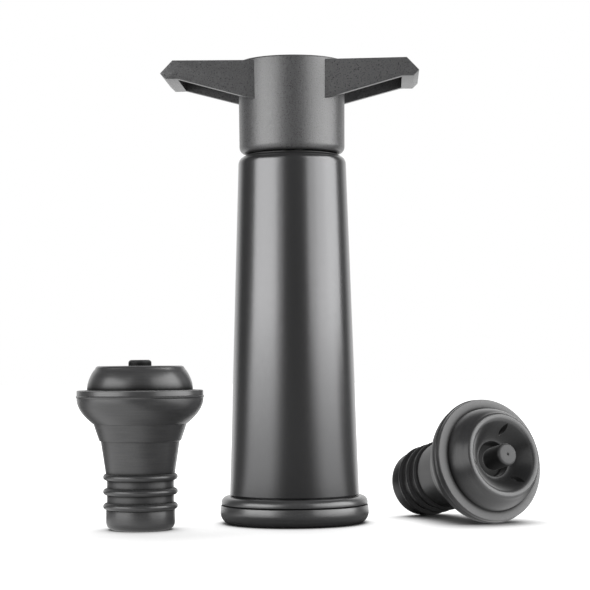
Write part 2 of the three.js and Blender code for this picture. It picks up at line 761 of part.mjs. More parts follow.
// Stopper: one rubber moulding, hollow from its foot up to the slits under the dome.
function stopperSolid() {
  const ribs = Array.from({ length: RIB_COUNT }, (_, i) => ribOutline(firstRib + i * RIB_PITCH));
  const tail = TAIL_RADIUS - TAIL_ROUNDING;
  const rim = rimTop - RIM_HALF_HEIGHT;
  const dome = Array.from({ length: DOME_RINGS + 1 }, (_, i) => [
    domeRadiusAt(i / DOME_RINGS),
    plateTop + (DOME_HEIGHT * i) / DOME_RINGS,
  ]);
  const bowl = Array.from({ length: BOWL_RINGS + 1 }, (_, i) => [
    bowlRadiusAt(1 - i / BOWL_RINGS),
    cupTop + (BOWL_HEIGHT * i) / BOWL_RINGS,
  ]);
  const outside = [
    [BORE_WAY_RADIUS, 0],
    ...arc(tail, TAIL_ROUNDING, TAIL_ROUNDING, TAIL_ROUNDING, -90, 0, 3),
    [TAIL_RADIUS, TAIL_HEIGHT],
    ...ribs.flat(),
    [NECK_FOOT_RADIUS, neckFoot],
    [NECK_TOP_RADIUS, neckTop],
    [CUP_FOOT_RADIUS, neckTop + NECK_STEP],
    [CUP_TOP_RADIUS, cupTop],
    ...bowl,
    [lipRadius, lipHeight],
    [plateRadius, lipHeight + LIP_SLOPE],
    [plateRadius, plateTop],
    ...dome,
    ...arc(rimRadius, rim, RIM_HALF_WIDTH, RIM_HALF_HEIGHT, RIM_ARC_START, 180 - RIM_ARC_START, 4),
    [recessRadius, rimTop - RECESS_DROP - RECESS_EDGE],
    [WELL_RADIUS, wellTop],
    [WELL_RADIUS, wellFloor],
    [0, wellFloor],
  ];
  const chamberFoot = cupTop - CHAMBER_DROP;
  const inside = [
    [0, wellFloor - STOPPER_WALL],
    [skirtRadius, wellFloor - STOPPER_WALL],
    [skirtRadius, coneHeight(skirtRadius) - STOPPER_WALL],
    [chamberRadius, coneHeight(chamberRadius) - STOPPER_WALL],
    [chamberRadius, chamberFoot + chamberRadius - BORE_WAY_RADIUS],
    [BORE_WAY_RADIUS, chamberFoot],
  ];
  const body = turned([...outside, ...inside], MIDDLE_STEPS);
  const slits = Array.from({ length: SLIT_COUNT }, (_, i) => {
    const turn = (i * 360) / SLIT_COUNT + THREE.MathUtils.radToDeg(SLIT_FIRST_ANGLE);
    return slitSolid().rotate([0, 0, turn]);
  });
  return slits.reduce((solid, slit) => solid.subtract(slit), body);
}

// Eye-shaped cutter that stands along Z on the X axis.
function slitSolid() {
  const inner = skirtRadius + SLIT_MARGIN;
  const outer = chamberRadius - SLIT_MARGIN;
  const middle = (inner + outer) / 2;
  const shape = new THREE.Shape();
  shape.moveTo(inner, 0);
  shape.quadraticCurveTo(middle, -SLIT_WIDTH, outer, 0);
  shape.quadraticCurveTo(middle, SLIT_WIDTH, inner, 0);
  const bottom = coneHeight(inner) - STOPPER_WALL - CUT_OVERSHOOT;
  const geometry = new THREE.ExtrudeGeometry(shape, {
    depth: rimTop - bottom,
    bevelEnabled: false,
    curveSegments: 5,
  });
  geometry.translate(0, 0, bottom);
  return solidOf(geometry);
}

// Nub of the valve: a round foot in the well, a straight stem and a small dimple on top.
function nubSolid() {
  const pivot = wellFloor + SEAT_GAP + NUB_RADIUS;
  return turned(
    [
      ...arc(0, pivot, NUB_RADIUS, NUB_RADIUS, -90, 0, 5),
      ...arc(NUB_RADIUS - NUB_ROUNDING, nubTop - NUB_ROUNDING, NUB_ROUNDING, NUB_ROUNDING, 0, 90, 2),
      [DIMPLE_RADIUS, nubTop],
      [0, nubTop - DIMPLE_DEPTH],
    ],
    SMALL_STEPS,
  );
}

// The two meshes of one stopper, standing on its foot.
function stopper(name) {
  const group = new THREE.Group();
  group.add(piece(name + "_body", stopperSolid(), 0x454545, 0.55));
  group.add(piece(name + "_valve", nubSolid(), 0x4a4a4a, 0.5));
  return group;
}

// The angle at which a lying stopper rests on its lip and its rounded tail.
function lyingTilt() {
  const across = lipRadius - (TAIL_RADIUS - TAIL_ROUNDING);
  const along = lipHeight - TAIL_ROUNDING;
  return Math.atan2(across, along) - Math.asin(TAIL_ROUNDING / Math.hypot(across, along));
}

// A stopper on its side, its nose up by the tilt and turned to the right of the viewer.
function lyingStopper(name) {
  const tilt = lyingTilt();
  const body = stopper(name);
  const yaw = new THREE.Group();
  body.rotation.y = Math.PI / 2 - tilt;
  yaw.add(body);
  yaw.rotation.z = LYING_YAW;
  yaw.updateMatrixWorld(true);
  const plate = body.localToWorld(new THREE.Vector3(0, 0, plateTop));
  const lowest = new THREE.Box3().setFromObject(yaw, true).min.z;
  yaw.position.set(LYING_PLATE_PLACE.x - plate.x, LYING_PLATE_PLACE.y - plate.y, -lowest);
  return yaw;
}

// The pump's fixed pieces.
function barrel() {
  const group = new THREE.Group();
  group.add(piece("base_ring", footSolid(), 0x4a4a4a, 0.45));
  group.add(piece("base_carrier", carrierSolid(), 0x202020, 0.6));
  group.add(piece("mouth_gasket", gasketSolid(), 0x2b2b2b, 0.7));
  group.add(piece("outer_sleeve", sleeveSolid(), 0x555555, 0.35, 0.6));
  group.add(piece("cylinder", cylinderSolid(), 0xb8b8b4, 0.4));
  group.add(piece("cylinder_o_ring", oRingSolid(), 0x181818, 0.6));
  group.add(piece("top_collar", collarSolid(), 0x2e2e2e, 0.5));
  group.add(piece("rod_bush", bushSolid(), 0xd8d6cf, 0.4));
  group.add(piece("stop_bumper", bumperSolid(), 0x262626, 0.7));
  return group;
}

// The pieces that slide in the cylinder without turning.
function piston() {
  const group = new THREE.Group();
  group.add(piece("piston_head", pistonSolid(), 0xc9c7c0, 0.4));
  group.add(piece("piston_seal", sealSolid(), 0x222222, 0.6));
  group.add(piece("piston_washer", washerSolid(), 0xb0b0b0, 0.3, 1));
  return group;
}

// The pieces that slide and turn with the handle.
function plunger() {
  const group = new THREE.Group();
  group.rotation.z = HANDLE_TURN;
  group.add(piece("plunger_rod", rodSolid(), 0xb5b5b5, 0.3, 0.9));
  group.add(piece("t_handle", handleSolid(), 0x4f4f4f, 0.6));
  group.add(piece("hub_cap", capSolid(), 0x464646, 0.5));
  const lowerShank = rodBottom + SCREW_GRIP - pistonScrewHead;
  const lowerScrew = piece("piston_screw", screwSolid(lowerShank), 0xa8a8a8, 0.3, 1);
  lowerScrew.position.z = pistonScrewHead;
  group.add(lowerScrew);
  const seat = hubWebTop + SEAT_GAP;
  const upperScrew = piece("handle_screw", screwSolid(seat - rodTop + SCREW_GRIP), 0xa8a8a8, 0.3, 1);
  upperScrew.position.z = seat;
  upperScrew.rotation.x = Math.PI;
  group.add(upperScrew);
  return group;
}

const set = new THREE.Group();
set.add(barrel(), piston(), plunger());
const upright = stopper("upright_stopper");
upright.position.set(UPRIGHT_PLACE.x, UPRIGHT_PLACE.y, 0);
set.add(upright, lyingStopper("lying_stopper"));

// The origin goes under the middle of the set.
const extent = new THREE.Box3().setFromObject(set, true);
const middle = extent.getCenter(new THREE.Vector3());
set.position.set(-middle.x, -middle.y, -extent.min.z);

const root = new THREE.Group();
root.add(set);
export default root;
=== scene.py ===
"""A wine vacuum pump with a T handle and its two valve stoppers, for a plain studio photograph.

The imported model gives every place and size. This script makes fine surfaces for the pieces that show,
gives each piece its finish, and sets up a pale floor, soft light and a camera. Lengths in the classes
are millimetres.
"""

from __future__ import annotations

import json
import logging
import math
from collections.abc import Iterable, Mapping, Sequence
from dataclasses import dataclass
from enum import Enum
from typing import Any

import bmesh
import bpy
from mathutils import Euler, Matrix, Vector

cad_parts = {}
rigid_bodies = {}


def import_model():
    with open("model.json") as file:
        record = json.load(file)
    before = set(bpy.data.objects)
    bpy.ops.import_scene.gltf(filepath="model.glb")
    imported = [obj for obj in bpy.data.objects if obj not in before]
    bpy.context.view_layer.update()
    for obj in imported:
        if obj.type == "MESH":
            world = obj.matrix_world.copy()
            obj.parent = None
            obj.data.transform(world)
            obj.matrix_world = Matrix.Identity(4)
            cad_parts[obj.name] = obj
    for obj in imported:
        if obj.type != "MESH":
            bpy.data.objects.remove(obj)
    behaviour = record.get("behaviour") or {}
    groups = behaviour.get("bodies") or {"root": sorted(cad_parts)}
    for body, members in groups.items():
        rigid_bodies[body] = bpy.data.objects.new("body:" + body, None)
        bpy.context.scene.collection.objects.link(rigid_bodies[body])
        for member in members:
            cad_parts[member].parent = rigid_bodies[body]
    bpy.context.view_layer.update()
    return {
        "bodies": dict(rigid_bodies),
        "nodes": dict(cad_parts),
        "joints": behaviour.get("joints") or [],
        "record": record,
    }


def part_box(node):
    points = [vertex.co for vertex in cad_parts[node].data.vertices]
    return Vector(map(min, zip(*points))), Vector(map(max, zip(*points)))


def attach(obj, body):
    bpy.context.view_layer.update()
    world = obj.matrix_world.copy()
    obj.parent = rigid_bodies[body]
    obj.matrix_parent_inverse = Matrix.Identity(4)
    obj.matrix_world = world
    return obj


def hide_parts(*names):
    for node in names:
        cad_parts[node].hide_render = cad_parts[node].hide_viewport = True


LOG = logging.getLogger("wine_vacuum_pump")

MM = 0.001
"""Metres in a millimetre."""

MERGE = 1e-4
"""Millimetres within which two points of a mesh are one."""

NEAR = 1e-5
"""Millimetres within which a point lies on a cutting plane."""

TINY = 1e-6
"""Millimetres that count as nothing."""

WHITE = (1.0, 1.0, 1.0, 1.0)

Colour = tuple[float, float, float]


class Body(Enum):
    """The bodies that the pieces ride on."""

    BARREL = "barrel"
    PISTON = "piston"
    PLUNGER = "plunger"
    UPRIGHT_STOPPER = "upright_stopper"
    UPRIGHT_VALVE = "upright_valve"
    LYING_STOPPER = "lying_stopper"
    LYING_VALVE = "lying_valve"


class Slot(Enum):
    """The record's finishes that the fine pieces take over."""

    FOOT = "foot_rubber"
    INNER = "inner_plastic"
    SEAL = "seal_rubber"
    SLEEVE = "sleeve_paint"
    BUSH = "bush_plastic"
    ROD = "rod_metal"
    HANDLE = "handle_plastic"
    STOPPER = "stopper_rubber"


class Join(Enum):
    """What one solid does to another."""

    ADD = "UNION"
    CUT = "DIFFERENCE"


class Edge:
    """Usual roundings of moulded and turned edges, in millimetres."""

    CRISP = 0.1
    FINE = 0.2
    SOFT = 0.3
    ROUND = 0.5


# Shader maths


class Signal:
    """One output socket that takes part in arithmetic. Each operator adds a Math node."""

    def __init__(self, graph: Graph, socket: bpy.types.NodeSocket) -> None:
        """Wraps a socket.

        Args:
            graph: The node tree that the socket belongs to.
            socket: The output socket.
        """
        self.graph = graph
        self.socket = socket

    def _math(self, operation: str, first: Any, second: Any = None) -> Signal:
        """A Math node of two values.

        Args:
            operation: The node's operation.
            first: A number or a signal.
            second: A number, a signal or nothing.

        Returns:
            The node's value.
        """
        values = {0: first} if second is None else {0: first, 1: second}
        return self.graph.add("ShaderNodeMath", {"operation": operation}, values)["Value"]

    def __add__(self, other: Any) -> Signal:
        """self + other."""
        return self._math("ADD", self, other)

    __radd__ = __add__

    def __sub__(self, other: Any) -> Signal:
        """self - other."""
        return self._math("SUBTRACT", self, other)

    def __rsub__(self, other: Any) -> Signal:
        """other - self."""
        return self._math("SUBTRACT", other, self)

    def __mul__(self, other: Any) -> Signal:
        """self * other."""
        return self._math("MULTIPLY", self, other)

    __rmul__ = __mul__

    def __truediv__(self, other: Any) -> Signal:
        """self / other."""
        return self._math("DIVIDE", self, other)

    def __rtruediv__(self, other: Any) -> Signal:
        """other / self."""
        return self._math("DIVIDE", other, self)

    def larger(self, other: Any) -> Signal:
        """The larger of this and another value."""
        return self._math("MAXIMUM", self, other)

    def about(self, middle: float, spread: float) -> Signal:
        """Turns 0 to 1 into values about a middle, with this spread in all."""
        return middle - spread / 2 + self * spread

    def below(self, low: float, high: float) -> Signal:
        """A soft step: 1 below low, 0 above high."""
        return 1.0 - self.above(low, high)

    def above(self, low: float, high: float) -> Signal:
        """A soft step: 0 below low, 1 above high.

        Args:
            low: Where the step starts.
            high: Where the step ends.

        Returns:
            The step.
        """
        settings = {"interpolation_type": "SMOOTHSTEP", "clamp": True}
        sockets = {"Value": self, "From Min": low, "From Max": high, "To Min": 0.0, "To Max": 1.0}
        return self.graph.add("ShaderNodeMapRange", settings, sockets)["Result"]


class Outputs:
    """The output sockets of one node, by name."""

    def __init__(self, graph: Graph, node: bpy.types.Node) -> None:
        """Wraps a node.

        Args:
            graph: The node tree that holds the node.
            node: The node.
        """
        self.graph = graph
        self.node = node

    def __getitem__(self, name: str) -> Signal:
        """The output with that name, among those in use."""
        return Signal(self.graph, next(o for o in self.node.outputs if o.name == name and o.enabled))


class Graph:
    """The node tree of a material or of the world."""

    def __init__(self, owner: bpy.types.Material | bpy.types.World) -> None:
        """Empties the owner's node tree.

        Args:
            owner: What the tree shades.
        """
        owner.use_nodes = True
        self.tree = owner.node_tree
        self.tree.nodes.clear()

    def add(
        self,
        kind: str,
        settings: Mapping[str, Any] | None = None,
        sockets: Mapping[str | int, Any] | None = None,
    ) -> Outputs:
        """Adds a node.

        Args:
            kind: The node's type.
            settings: Its own settings, set first.
            sockets: The value or the signal of each input, by name or number.

        Returns:
            The node's outputs.
        """
        node = self.tree.nodes.new(kind)
        for name, value in (settings or {}).items():
            setattr(node, name, value)
        for name, value in (sockets or {}).items():
            socket = self._input(node, name)
            if isinstance(value, Signal):
                self.tree.links.new(value.socket, socket)
            else:
                socket.default_value = value
        return Outputs(self, node)

    @staticmethod
    def _input(node: bpy.types.Node, name: str | int) -> bpy.types.NodeSocket:
        """Finds an input of a node.

        Args:
            node: The node.
            name: The input's number, or its name among those in use.

        Returns:
            The input.
        """
        if isinstance(name, int):
            return node.inputs[name]
        return next(s for s in node.inputs if s.name == name and s.enabled)

    def mix(self, factor: Signal, first: Colour | Signal, second: Colour | Signal) -> Signal:
        """Mixes two colours.

        Args:
            factor: The share of the second colour.
            first: The colour at 0.
            second: The colour at 1.

        Returns:
            The mixed colour.
        """
        low, high = (c if isinstance(c, Signal) else (*c, 1.0) for c in (first, second))
        settings = {"data_type": "RGBA", "blend_type": "MIX", "clamp_factor": True}
        return self.add("ShaderNodeMix", settings, {"Factor": factor, "A": low, "B": high})["Result"]

    def noise(self, place: Signal, scale: float, detail: float = 3.0, roughness: float = 0.5) -> Signal:
        """Cloudy noise.

        Args:
            place: Where the noise is read.
            scale: Features in a unit of place.
            detail: How many finer layers it has.
            roughness: How strong the finer layers are.

        Returns:
            A value about 0.5.
        """
        sockets = {"Vector": place, "Scale": scale, "Detail": detail, "Roughness": roughness}
        return self.add("ShaderNodeTexNoise", {"noise_dimensions": "3D"}, sockets)["Fac"]

    def own_place(self, place: Matrix, stretch: Colour = (1.0, 1.0, 1.0)) -> Signal:
        """The point being shaded, in a piece's own upright frame in millimetres.

        Args:
            place: Where the piece's own frame lies, in metres.
            stretch: How much each own axis is stretched after that.

        Returns:
            The point as a vector.
        """
        turn = place.to_3x3().normalized().transposed()
        shift = turn @ place.translation
        mapping = self.add(
            "ShaderNodeMapping",
            {"vector_type": "POINT"},
            {
                "Vector": self.add("ShaderNodeTexCoord")["Object"],
                "Location": tuple(-shift / MM),
                "Rotation": turn.to_euler(),
                "Scale": (1 / MM,) * 3,
            },
        )
        if stretch == (1.0, 1.0, 1.0):
            return mapping["Vector"]
        settings = {"operation": "MULTIPLY"}
        return self.add("ShaderNodeVectorMath", settings, {0: mapping["Vector"], 1: stretch})["Vector"]

    def height_in(self, place: Signal) -> Signal:
        """The height of a point in a piece's own frame."""
        return self.add("ShaderNodeSeparateXYZ", sockets={"Vector": place})["Z"]

    def openness(self, reach: float, alone: bool) -> Signal:
        """How open a point is to its surroundings: 1 in the open, less in a hollow.

        Args:
            reach: How far away something still closes it in, in metres.
            alone: Whether only the piece itself counts.

        Returns:
            The openness.
        """
        return self.add("ShaderNodeAmbientOcclusion", {"only_local": alone}, {"Distance": reach})["AO"]

    def bump(self, height: Signal, depth: float) -> Signal:
        """A normal from a height.

        Args:
            height: The height, about 0 to 1.
            depth: How deep a height of 1 is, in millimetres.

        Returns:
            The normal.
        """
        sockets = {"Height": height, "Distance": depth * MM, "Strength": 1.0}
        return self.add("ShaderNodeBump", sockets=sockets)["Normal"]

    def surface(self, sockets: Mapping[str, Any]) -> None:
        """Ends the tree in one principled surface.

        Args:
            sockets: The surface's values and links.
        """
        shader = self.add("ShaderNodeBsdfPrincipled", sockets=sockets)["BSDF"]
        self.add("ShaderNodeOutputMaterial", {"is_active_output": True}, {"Surface": shader})


# Finishes


@dataclass(frozen=True)
class Finish:
    """A surface finish. Each kind of finish draws its own nodes."""

    name: str

    def material(self, place: Matrix, suffix: str = "") -> bpy.types.Material:
        """Makes the material for one place of the finish.

        Args:
            place: The piece's own frame, in metres.
            suffix: What sets this copy's name apart.

        Returns:
            The material.
        """
        made = bpy.data.materials.new(self.name + suffix)
        self.draw(Graph(made), place)
        return made

    def draw(self, graph: Graph, place: Matrix) -> None:
        """Draws the finish's nodes.

        Args:
            graph: The empty node tree.
            place: The piece's own frame, in metres.
        """
        raise NotImplementedError


@dataclass(frozen=True)
class SparkedPlastic(Finish):
    """Dark plastic from a spark-eroded mould: a fine, even grain with small bright points."""

    dark: Colour = (0.050, 0.050, 0.051)
    light: Colour = (0.092, 0.092, 0.094)
    grain: float = 2.6
    fine_grain: float = 6.0
    grain_in_colour: float = 0.6
    grain_in_height: float = 0.55
    mottle_low: float = 0.34
    mottle_high: float = 0.68
    roughness: float = 0.36
    uneven: float = 0.2
    specular: float = 0.9
    ior: float = 1.6
    depth: float = 0.06

    def draw(self, graph: Graph, place: Matrix) -> None:
        """Mottled colour, uneven gloss and a pitted surface.

        Args:
            graph: The empty node tree.
            place: The piece's own frame, in metres.
        """
        point = graph.own_place(place)
        coarse = graph.noise(point, self.grain, detail=2.0, roughness=0.55)
        fine = graph.noise(point, self.fine_grain, detail=1.0)
        mottle = coarse * self.grain_in_colour + fine * (1 - self.grain_in_colour)
        mottle = mottle.above(self.mottle_low, self.mottle_high)
        height = coarse * self.grain_in_height + fine * (1 - self.grain_in_height)
        graph.surface(
            {
                "Base Color": graph.mix(mottle, self.dark, self.light),
                "Roughness": mottle.about(self.roughness, self.uneven),
                "Specular IOR Level": self.specular,
                "IOR": self.ior,
                "Normal": graph.bump(height, self.depth),
            }
        )


@dataclass(frozen=True)
class SatinPaint(Finish):
    """Dark metallic paint with a satin lacquer over sheet metal."""

    dark: Colour = (0.125, 0.125, 0.127)
    light: Colour = (0.165, 0.165, 0.168)
    flake: float = 9.0
    flake_low: float = 0.35
    flake_high: float = 0.7
    flake_in_height: float = 0.3
    ripple: float = 0.35
    roughness: float = 0.25
    uneven: float = 0.06
    metallic: float = 0.85
    coat: float = 0.25
    coat_roughness: float = 0.22
    depth: float = 0.012

    def draw(self, graph: Graph, place: Matrix) -> None:
        """Fine flake, a slight ripple and a thin lacquer.

        Args:
            graph: The empty node tree.
            place: The piece's own frame, in metres.
        """
        point = graph.own_place(place)
        flakes = graph.noise(point, self.flake, detail=1.0)
        ripple = graph.noise(point, self.ripple, detail=2.0)
        tone = flakes.above(self.flake_low, self.flake_high)
        graph.surface(
            {
                "Base Color": graph.mix(tone, self.dark, self.light),
                "Metallic": self.metallic,
                "Roughness": flakes.about(self.roughness, self.uneven),
                "Coat Weight": self.coat,
                "Coat Roughness": self.coat_roughness,
                "Normal": graph.bump(flakes * self.flake_in_height + ripple, self.depth),
            }
        )


@dataclass(frozen=True)
class MouldedRubber(Finish):
    """Satin rubber with the fine turning marks of its mould, with painted shade and a thinner coat in its
    hollows.

    Painted shade darkens a point by how closed in it is: recesses within centimetres, crevices within a
    millimetre.
    A flat face at face_height takes a lighter colour, a painted sheen, and the skin may be duller under
    it.
    """

    dark: Colour = (0.040, 0.040, 0.041)
    light: Colour = (0.061, 0.061, 0.062)
    streaks: float = 2.6
    streak_shape: Colour = (0.06, 0.06, 1.0)
    streak_share: float = 0.6
    speckle: float = 3.5
    tone_low: float = 0.3
    tone_high: float = 0.7
    roughness: float = 0.5
    uneven: float = 0.12
    specular: float = 0.1
    skin_roughness: float = 0.3
    skin_ior: float = 1.72
    skin: float = 1.0
    depth: float = 0.02
    # Colour of the painted shade in recesses and crevices.
    recess: Colour = (0.008, 0.008, 0.008)
    recess_shade_reach: float = 0.02
    recess_shade_dark: float = 0.55
    recess_shade_light: float = 1.0
    alone: bool = True
    crevice_shade_reach: float = 0.0012
    crevice_shade_dark: float = 0.5
    crevice_shade_light: float = 0.95
    face_height: float | None = None
    # Lighter colour of the flat face: a painted sheen.
    sheen_colour: Colour = (0.1, 0.1, 0.101)
    face_inner: float = 0.1
    face_outer: float = 0.2
    under_face: float = 2.0
    under_blend: float = 0.2
    under_skin: float = 1.0

    def draw(self, graph: Graph, place: Matrix) -> None:
        """Streaks round the axis over a soft speckle.

        Args:
            graph: The empty node tree.
            place: The piece's own frame, in metres.
        """
        point = graph.own_place(place)
        turned_place = graph.own_place(place, self.streak_shape)
        streak = graph.noise(turned_place, self.streaks, detail=3.0, roughness=0.6)
        speckle = graph.noise(point, self.speckle, detail=2.0)
        marks = streak * self.streak_share + speckle * (1 - self.streak_share)
        tone = marks.above(self.tone_low, self.tone_high)
        # Painted shade: where the point is closed in, the colour goes towards the recess colour and the
        # coat thins.
        recess = graph.openness(self.recess_shade_reach, self.alone)
        crevice = graph.openness(self.crevice_shade_reach, self.alone)
        unshaded = recess.above(self.recess_shade_dark, self.recess_shade_light)
        unshaded = unshaded * crevice.above(self.crevice_shade_dark, self.crevice_shade_light)
        skin = unshaded * self.skin
        colour = graph.mix(tone, self.dark, self.light)
        # Painted sheen: a thin band at face_height, the plate's flat face, is drawn lighter.
        if self.face_height is not None:
            over = graph.height_in(point) - self.face_height
            face = (over * over).below(self.face_inner**2, self.face_outer**2)
            colour = graph.mix(face, colour, self.sheen_colour)
            upper = (over + self.under_face).above(-self.under_blend, self.under_blend)
            skin = skin * (self.under_skin + upper * (1.0 - self.under_skin))
        graph.surface(
            {
                "Base Color": graph.mix(unshaded, self.recess, colour),
                "Roughness": tone.about(self.roughness, self.uneven),
                "Specular IOR Level": self.specular,
                "Coat Weight": skin,
                "Coat Roughness": self.skin_roughness,
                "Coat IOR": self.skin_ior,
                "Normal": graph.bump(marks, self.depth),
            }
        )


@dataclass(frozen=True)
class PlainPlastic(Finish):
    """Smooth moulded plastic with faint flow marks."""

    colour: Colour = (0.03, 0.03, 0.03)
    spread: float = 0.25
    cloud: float = 0.3
    cloud_low: float = 0.35
    cloud_high: float = 0.65
    grain: float = 3.0
    roughness: float = 0.45
    uneven: float = 0.1
    depth: float = 0.01

    def draw(self, graph: Graph, place: Matrix) -> None:
        """A soft cloud in colour and gloss.

        Args:
            graph: The empty node tree.
            place: The piece's own frame, in metres.
        """
        point = graph.own_place(place)
        cloud = graph.noise(point, self.cloud, detail=3.0).above(self.cloud_low, self.cloud_high)
        fine = graph.noise(point, self.grain, detail=2.0)
        lighter = tuple(c * (1 + self.spread) for c in self.colour)
        graph.surface(
            {
                "Base Color": graph.mix(cloud, self.colour, lighter),
                "Roughness": fine.about(self.roughness, self.uneven),
                "Normal": graph.bump(fine, self.depth),
            }
        )


@dataclass(frozen=True)
class ClearPlastic(Finish):
    """Clear plastic that is slightly hazy from its mould."""

    colour: Colour = (0.86, 0.87, 0.87)
    clearer: Colour = (0.92, 0.93, 0.93)
    haze: float = 0.25
    haze_low: float = 0.3
    haze_high: float = 0.7
    roughness: float = 0.16
    uneven: float = 0.12
    transmission: float = 0.6
    ior: float = 1.49

    def draw(self, graph: Graph, place: Matrix) -> None:
        """Mostly transmission, with a haze that changes slowly.

        Args:
            graph: The empty node tree.
            place: The piece's own frame, in metres.
        """
        haze = graph.noise(graph.own_place(place), self.haze, detail=3.0)
        cloud = haze.above(self.haze_low, self.haze_high)
        graph.surface(
            {
                "Base Color": graph.mix(cloud, self.colour, self.clearer),
                "Roughness": self.roughness + haze * self.uneven,
                "Transmission Weight": self.transmission,
                "IOR": self.ior,
            }
        )


@dataclass(frozen=True)
class TurnedSteel(Finish):
    """Bright metal with fine rings left by turning."""

    dark: Colour = (0.42, 0.42, 0.43)
    light: Colour = (0.62, 0.62, 0.63)
    rings: float = 6.0
    ring_shape: Colour = (0.05, 0.05, 1.0)
    ring_low: float = 0.35
    ring_high: float = 0.65
    roughness: float = 0.28
    uneven: float = 0.12
    depth: float = 0.006

    def draw(self, graph: Graph, place: Matrix) -> None:
        """Rings round the axis in colour, gloss and surface.

        Args:
            graph: The empty node tree.
            place: The piece's own frame, in metres.
        """
        turned_place = graph.own_place(place, self.ring_shape)
        ring = graph.noise(turned_place, self.rings, detail=2.0, roughness=0.6)
        tone = ring.above(self.ring_low, self.ring_high)
        graph.surface(
            {
                "Base Color": graph.mix(tone, self.dark, self.light),
                "Metallic": 1.0,
                "Roughness": ring.about(self.roughness, self.uneven),
                "Normal": graph.bump(ring, self.depth),
            }
        )


# Mesh building


@dataclass(frozen=True)
class Corner:
    """One corner of an outline: its distance from the axis, its height and its rounding."""

    r: float
    z: float
    rounding: float = 0.0

    @property
    def point(self) -> Vector:
        """The corner in the outline's plane."""
        return Vector((self.r, self.z))

    @property
    def segments(self) -> int:
        """The straight stretches of its rounding, more for a larger one."""
        return max(3, round(4 * self.rounding) + 2)


def sweep(
    r: float, z: float, across: float, up: float, start: float, end: float, steps: int
) -> list[Corner]:
    """Corners along an elliptical arc.

    Args:
        r: The arc's centre from the axis.
        z: The arc's centre height.
        across: Its half width.
        up: Its half height.
        start: The first angle in degrees, 0 pointing away from the axis.
        end: The last angle.
        steps: The number of straight stretches.

    Returns:
        The corners from start to end.
    """
    angles = [math.radians(start + (end - start) * i / steps) for i in range(steps + 1)]
    return [Corner(r + across * math.cos(a), z + up * math.sin(a)) for a in angles]


def outline_face(mesh: bmesh.types.BMesh, corners: Sequence[Corner]) -> bmesh.types.BMFace:
    """A flat face in X and Z whose corners are rounded by the bevel operator.

    Args:
        mesh: The mesh to add it to.
        corners: The outline, which closes on itself.

    Returns:
        The face.
    """
    verts = [mesh.verts.new((c.r, 0.0, c.z)) for c in corners]
    mesh.faces.new(verts)
    for i, corner in enumerate(corners):
        if corner.rounding <= 0:
            continue
        before = corners[i - 1].point - corner.point
        after = corners[(i + 1) % len(corners)].point - corner.point
        offset = corner.rounding / math.tan(before.angle(after) / 2)
        bevelled(mesh, [verts[i]], "VERTICES", offset, corner.segments)
    return max(mesh.faces, key=lambda f: len(f.verts))


def bevelled(
    mesh: bmesh.types.BMesh, geometry: Sequence[Any], affect: str, offset: float, segments: int
) -> None:
    """Rounds corners or edges of a mesh.

    Args:
        mesh: The mesh.
        geometry: The corners or the edges.
        affect: "VERTICES" or "EDGES".
        offset: How far from them the rounding starts.
        segments: Its straight stretches.
    """
    bmesh.ops.bevel(
        mesh,
        geom=geometry,
        offset=offset,
        offset_type="OFFSET",
        segments=segments,
        profile=0.5,
        affect=affect,
        material=-1,
    )


def extruded(mesh: bmesh.types.BMesh, face: bmesh.types.BMFace, way: Sequence[float]) -> None:
    """Extrudes a face of a mesh.

    Args:
        mesh: The mesh.
        face: The face.
        way: Where its copy moves to.
    """
    moved = bmesh.ops.extrude_face_region(mesh, geom=[face])["geom"]
    far = [v for v in moved if isinstance(v, bmesh.types.BMVert)]
    bmesh.ops.translate(mesh, vec=way, verts=far)


def turned(corners: Sequence[Corner], steps: int) -> bmesh.types.BMesh:
    """Spins an outline round the Z axis into a closed solid.

    Args:
        corners: The outline, which closes on itself or on the axis.
        steps: The facets round a full turn.

    Returns:
        The solid.
    """
    mesh = bmesh.new()
    face = outline_face(mesh, corners)
    bmesh.ops.delete(mesh, geom=[face], context="FACES_ONLY")
    on_axis = [e for e in mesh.edges if all(v.co.x < TINY for v in e.verts)]
    bmesh.ops.delete(mesh, geom=on_axis, context="EDGES")
    bmesh.ops.spin(
        mesh,
        geom=mesh.verts[:] + mesh.edges[:],
        cent=(0, 0, 0),
        axis=(0, 0, 1),
        dvec=(0, 0, 0),
        angle=math.tau,
        steps=steps,
        use_merge=True,
        use_duplicate=False,
    )
    return cleaned(mesh)


def cleaned(mesh: bmesh.types.BMesh) -> bmesh.types.BMesh:
    """Merges doubles and turns every face outwards.

    Args:
        mesh: A closed solid.

    Returns:
        The same mesh.
    """
    bmesh.ops.remove_doubles(mesh, verts=mesh.verts, dist=MERGE)
    bmesh.ops.recalc_face_normals(mesh, faces=mesh.faces)
    return mesh


def pushed(corners: Sequence[Corner], depth: float, edge: float = 0.0) -> bmesh.types.BMesh:
    """Pushes an outline in X and Z out along Y, centred on it.

    Args:
        corners: The outline.
        depth: The length along Y.
        edge: The rounding of the edges at both ends.

    Returns:
        The solid.
    """
    mesh = bmesh.new()
    face = outline_face(mesh, corners)
    bmesh.ops.translate(mesh, vec=(0, -depth / 2, 0), verts=mesh.verts)
    extruded(mesh, face, (0, depth, 0))
    cleaned(mesh)
    if edge > 0:
        ends = [e for e in mesh.edges if abs(e.verts[0].co.y - e.verts[1].co.y) < TINY]
        bevelled(mesh, ends, "EDGES", edge, 3)
    return mesh


def box(size: Sequence[float], centre: Sequence[float]) -> bmesh.types.BMesh:
    """A plain block.

    Args:
        size: Its three lengths.
        centre: Its centre.

    Returns:
        The solid.
    """
    mesh = bmesh.new()
    bmesh.ops.create_cube(mesh, size=1.0)
    bmesh.ops.scale(mesh, vec=Vector(size), verts=mesh.verts)
    bmesh.ops.translate(mesh, vec=Vector(centre), verts=mesh.verts)
    return mesh


